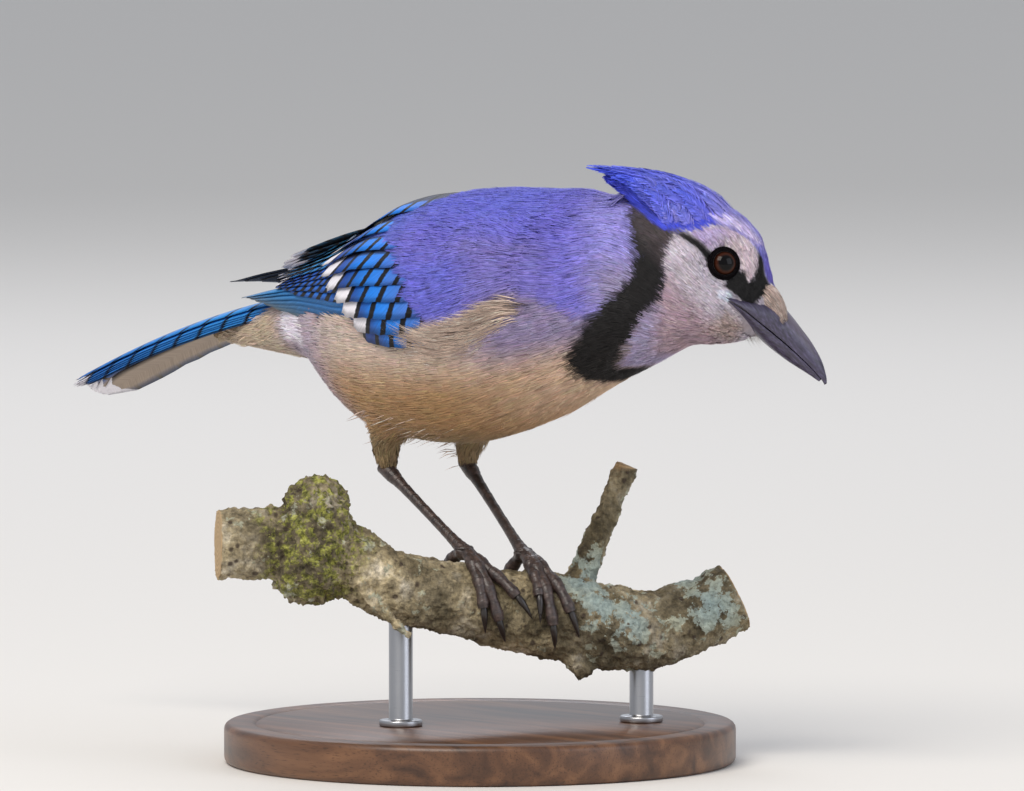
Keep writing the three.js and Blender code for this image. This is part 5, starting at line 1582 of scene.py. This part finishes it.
def buildLeg(name, leg):
    run = leg["foot"] - leg["ankle"]
    shares = [-0.06, 0.06, 0.16, 0.4, 0.7, 0.88, 0.99]
    shank = [leg["ankle"] + run * share for share in shares]
    parts = [limb(shank, [2.0, 1.9, 1.45, 1.25, 1.25, 1.45, 1.9], 150, 24, footSizes["scutes"])]
    for along, wrap in toes[name].values():
        t = np.linspace(0, 0.985, 13)
        knuckles = 1 + 0.1 * np.cos(t * 3.3 * 2 * math.pi) - 0.22 * t
        line = toePoints(leg["foot"], along, wrap, t)
        radii = footSizes["toeRadius"] * knuckles * 0.98
        parts.append(limb(line, radii, 90, 20, footSizes["toeScutes"], 0.08))
    joint = leg["foot"] + [(0, 0, 2.1), (0, 0, 1.4), (0, 0, 0), (-0.2, 0, -1.4), (-0.2, 0, -2.2)]
    parts.append(limb(joint, [1.0, 2.0, 2.5, 2.1, 1.0], 24, 24, 3, 0.04))
    place, faces = together([(p, f) for p, f, _ in parts])
    along = np.concatenate([a for _, _, a in parts])
    attributes = {"limb": along[:, None] * [1, 0, 0]}
    piece = makePiece("leg_scutes_" + name, place, faces, scaleMaterial, True, attributes)
    mount(piece, "scaled_skin", "tarsus_" + name, "foot_" + name)
    claws = []
    for toe, (along, wrap) in toes[name].items():
        before, start, after = toePoints(leg["foot"], along, wrap, np.array([0.97, 1.0, 1.02]))
        ahead = unit(after - before)
        centre, axis, *_ = loftFrame(branch, nearestOnBranch(start))
        inward = centre[0] - start
        inward = unit(inward - (inward @ axis[0]) * axis[0])
        span = footSizes["hindClaw"] if toe == "hind" else footSizes["claw"]
        t = np.linspace(-0.08, 1, 9)
        line = start + ahead * (t * span)[:, None] + inward * (t * t * span * 0.34 - 0.2)[:, None]
        radii = np.interp(t, [-0.08, 0.1, 0.35, 0.7, 1], [0.75, 0.92, 0.82, 0.5, 0.08])
        claws.append(loft(tube(line, radii), 40, 18))
    place, faces = together(claws)
    claw = makePiece("claws_" + name, place, faces, clawMaterial, True, {"beak": toHead(place) * 0.6})
    mount(claw, "horn", *["claw_" + name + "_" + toe for toe in toes[name]])


for name, leg in legs.items():
    buildLeg(name, leg)
print("legs")

# The stand
stand = {
    "radius": 64, "height": 10, "bevel": 1.6, "grooveIn": 7, "grooveWide": 0.9, "grooveDeep": 0.5, "rod": 3,
    "collar": 5.4, "collarHigh": 1.6,
}

# Turned walnut: brown with darker grain lines 2 to 4 mm apart, fine pores along the grain, an oil sheen
walnut, add, shader = newMaterial("oiled_walnut", Roughness=0.4, Coat_Weight=0.2, Coat_Roughness=0.25)
walnutAt = add("TexCoord").outputs["Object"]
walnutStretch = add(
    "Mapping", {"Vector": walnutAt, "Scale": (12.0, 150.0, 150.0), "Rotation": (0.0, 0.0, 0.5)},
)
walnutGrain = add("TexNoise", {"Vector": walnutStretch, "Scale": 1.0, "Detail": 5.0, "Distortion": 0.8})
porePlace = add(
    "Mapping", {"Vector": walnutAt, "Scale": (220.0, 2600.0, 2600.0), "Rotation": (0.0, 0.0, 0.5)},
)
pores = add("TexNoise", {"Vector": porePlace, "Scale": 1.0, "Detail": 2.0})
walnutTone = add(
    "ValToRGB", {"Fac": walnutGrain}, stops=[(0.3, "#3a2417"), (0.5, "#5f3f29"), (0.7, "#7d573a")],
)
poreMask = add("MapRange", pores, 0.56, 0.68, 0.0, 0.5)
pored = add("Mix", {0: poreMask, 6: walnutTone, 7: "#2a1a10"}, **mixing)
poreBump = add("Bump", {"Strength": 0.25, "Distance": 0.0001, "Height": pores})
feed(shader, {"Base Color": pored, "Normal": poreBump})

# Steel rod, brushed round: fine turning lines that stretch the highlight
steel, add, shader = newMaterial("brushed_steel", Base_Color="#b4b5b8", Metallic=1.0)
brushPlace = add("Mapping", {"Vector": add("TexCoord").outputs["Object"], "Scale": (150.0, 150.0, 9000.0)})
brush = add("TexNoise", {"Vector": brushPlace, "Scale": 1.0, "Detail": 2.0})
brushBump = add("Bump", {"Strength": 0.15, "Distance": 0.00005, "Height": brush})
feed(shader, {"Roughness": add("MapRange", brush, 0.0, 1.0, 0.22, 0.42), "Normal": brushBump})


# A turned disc, left in edit mode with the face of its top selected
def turnedDisc(name, sides, radius, height, place):
    bpy.ops.object.select_all(action="DESELECT")
    bpy.ops.mesh.primitive_cylinder_add(
        vertices=sides, radius=radius * mm, depth=height * mm, location=place,
    )
    disc = bpy.context.object
    disc.name = name
    settle(disc)
    bpy.ops.object.mode_set(mode="EDIT")
    bpy.ops.mesh.select_all(action="DESELECT")
    bpy.ops.object.mode_set(mode="OBJECT")
    for polygon in disc.data.polygons:
        polygon.select = polygon.normal.z > 0.9
    bpy.ops.object.mode_set(mode="EDIT")
    bpy.ops.mesh.select_mode(type="FACE")
    return disc


# Leaves edit mode, rounds the edges sharper than an angle and smooths the gentle ones, in degrees
def softenEdges(piece, width, segments, sharp, gentle):
    bpy.ops.object.mode_set(mode="OBJECT")
    angle = math.radians(sharp)
    applyModifier(
        piece, "BEVEL", width=width * mm, segments=segments, limit_method="ANGLE", angle_limit=angle,
    )
    only(piece)
    bpy.ops.object.shade_smooth_by_angle(angle=math.radians(gentle))


base = turnedDisc("stand_disc", 160, stand["radius"], stand["height"], (0, 0, stand["height"] * mm / 2))
bpy.ops.mesh.inset(thickness=stand["grooveIn"] * mm)
bpy.ops.mesh.inset(thickness=stand["grooveWide"] * mm, depth=-stand["grooveDeep"] * mm)
bpy.ops.mesh.inset(thickness=stand["grooveWide"] * mm, depth=stand["grooveDeep"] * mm)
softenEdges(base, stand["bevel"], 4, 60, 35)
base.data.materials.append(walnut)
mount(base, "stand_wood", "stand_base")

for name, x, y, top in (("left", -5, -22, 40), ("right", 27, 30, 30)):
    low, high = stand["height"], stand["collarHigh"]
    place = (x * mm, y * mm, (low + high / 2) * mm)
    rod = turnedDisc("stand_post_" + name, 40, stand["collar"], high, place)
    bpy.ops.mesh.inset(thickness=(stand["collar"] - stand["rod"]) * mm)
    bpy.ops.mesh.extrude_region_move(TRANSFORM_OT_translate={"value": (0, 0, (top - low - high) * mm)})
    softenEdges(rod, 0.4, 3, 50, 40)
    rod.data.materials.append(steel)
    mount(rod, "stand_metal", "stand_rod_" + name)
print("stand")

# Floor, light and camera
paper, *_ = newMaterial("studio_paper", Base_Color="#e6e3de", Roughness=0.9)
bpy.ops.object.select_all(action="DESELECT")
bpy.ops.mesh.primitive_plane_add(size=14, location=(0, 0, 0))
floor = bpy.context.object
floor.name = "floor"
floor.data.materials.append(paper)

world = bpy.data.worlds.new("soft_room")
bpy.context.scene.world = world
world.use_nodes = True
feed(world.node_tree.nodes["Background"], {"Color": "#e4e8f0", "Strength": 0.62})

lamps = {
    "key": {"at": (0.5, -1.5, 1.7), "size": 1.3, "power": 38, "hue": "#fff8ee"},
    "fill": {"at": (1.7, 0.5, 0.7), "size": 1.2, "power": 7, "hue": "#eef3ff"},
    "rim": {"at": (-1.3, 0.9, 1.4), "size": 1.0, "power": 9, "hue": "#f6f8ff"},
}
for name, lamp in lamps.items():
    light = bpy.data.lights.new(name, "AREA")
    light.size = lamp["size"]
    light.energy = lamp["power"]
    light.color = linear(lamp["hue"])[:3]
    holder = bpy.data.objects.new(name, light)
    bpy.context.scene.collection.objects.link(holder)
    holder.location = lamp["at"]
    holder.rotation_euler = (Vector((0, 0, 0.1)) - Vector(lamp["at"])).to_track_quat("-Z", "Y").to_euler()

bpy.context.scene.view_settings.view_transform = "Standard"
view = {
    "azimuth": 48, "rise": 4, "distance": 3.0, "target": (0.00171, 0.00923, 0.0914), "pixelsPerMm": 4,
    "width": 1024,
}
azimuth, rise = math.radians(view["azimuth"]), math.radians(view["rise"])
away = Vector((math.sin(azimuth) * math.cos(rise), -math.cos(azimuth) * math.cos(rise), math.sin(rise)))
camera = bpy.data.objects.new("camera", bpy.data.cameras.new("camera"))
bpy.context.scene.collection.objects.link(camera)
camera.location = Vector(view["target"]) + away * view["distance"]
camera.rotation_euler = (-away).to_track_quat("-Z", "Y").to_euler()
camera.data.sensor_width = 36
camera.data.lens = 36 * view["distance"] / (view["width"] / view["pixelsPerMm"] * mm)
camera.data.clip_end = 30
bpy.context.scene.camera = camera
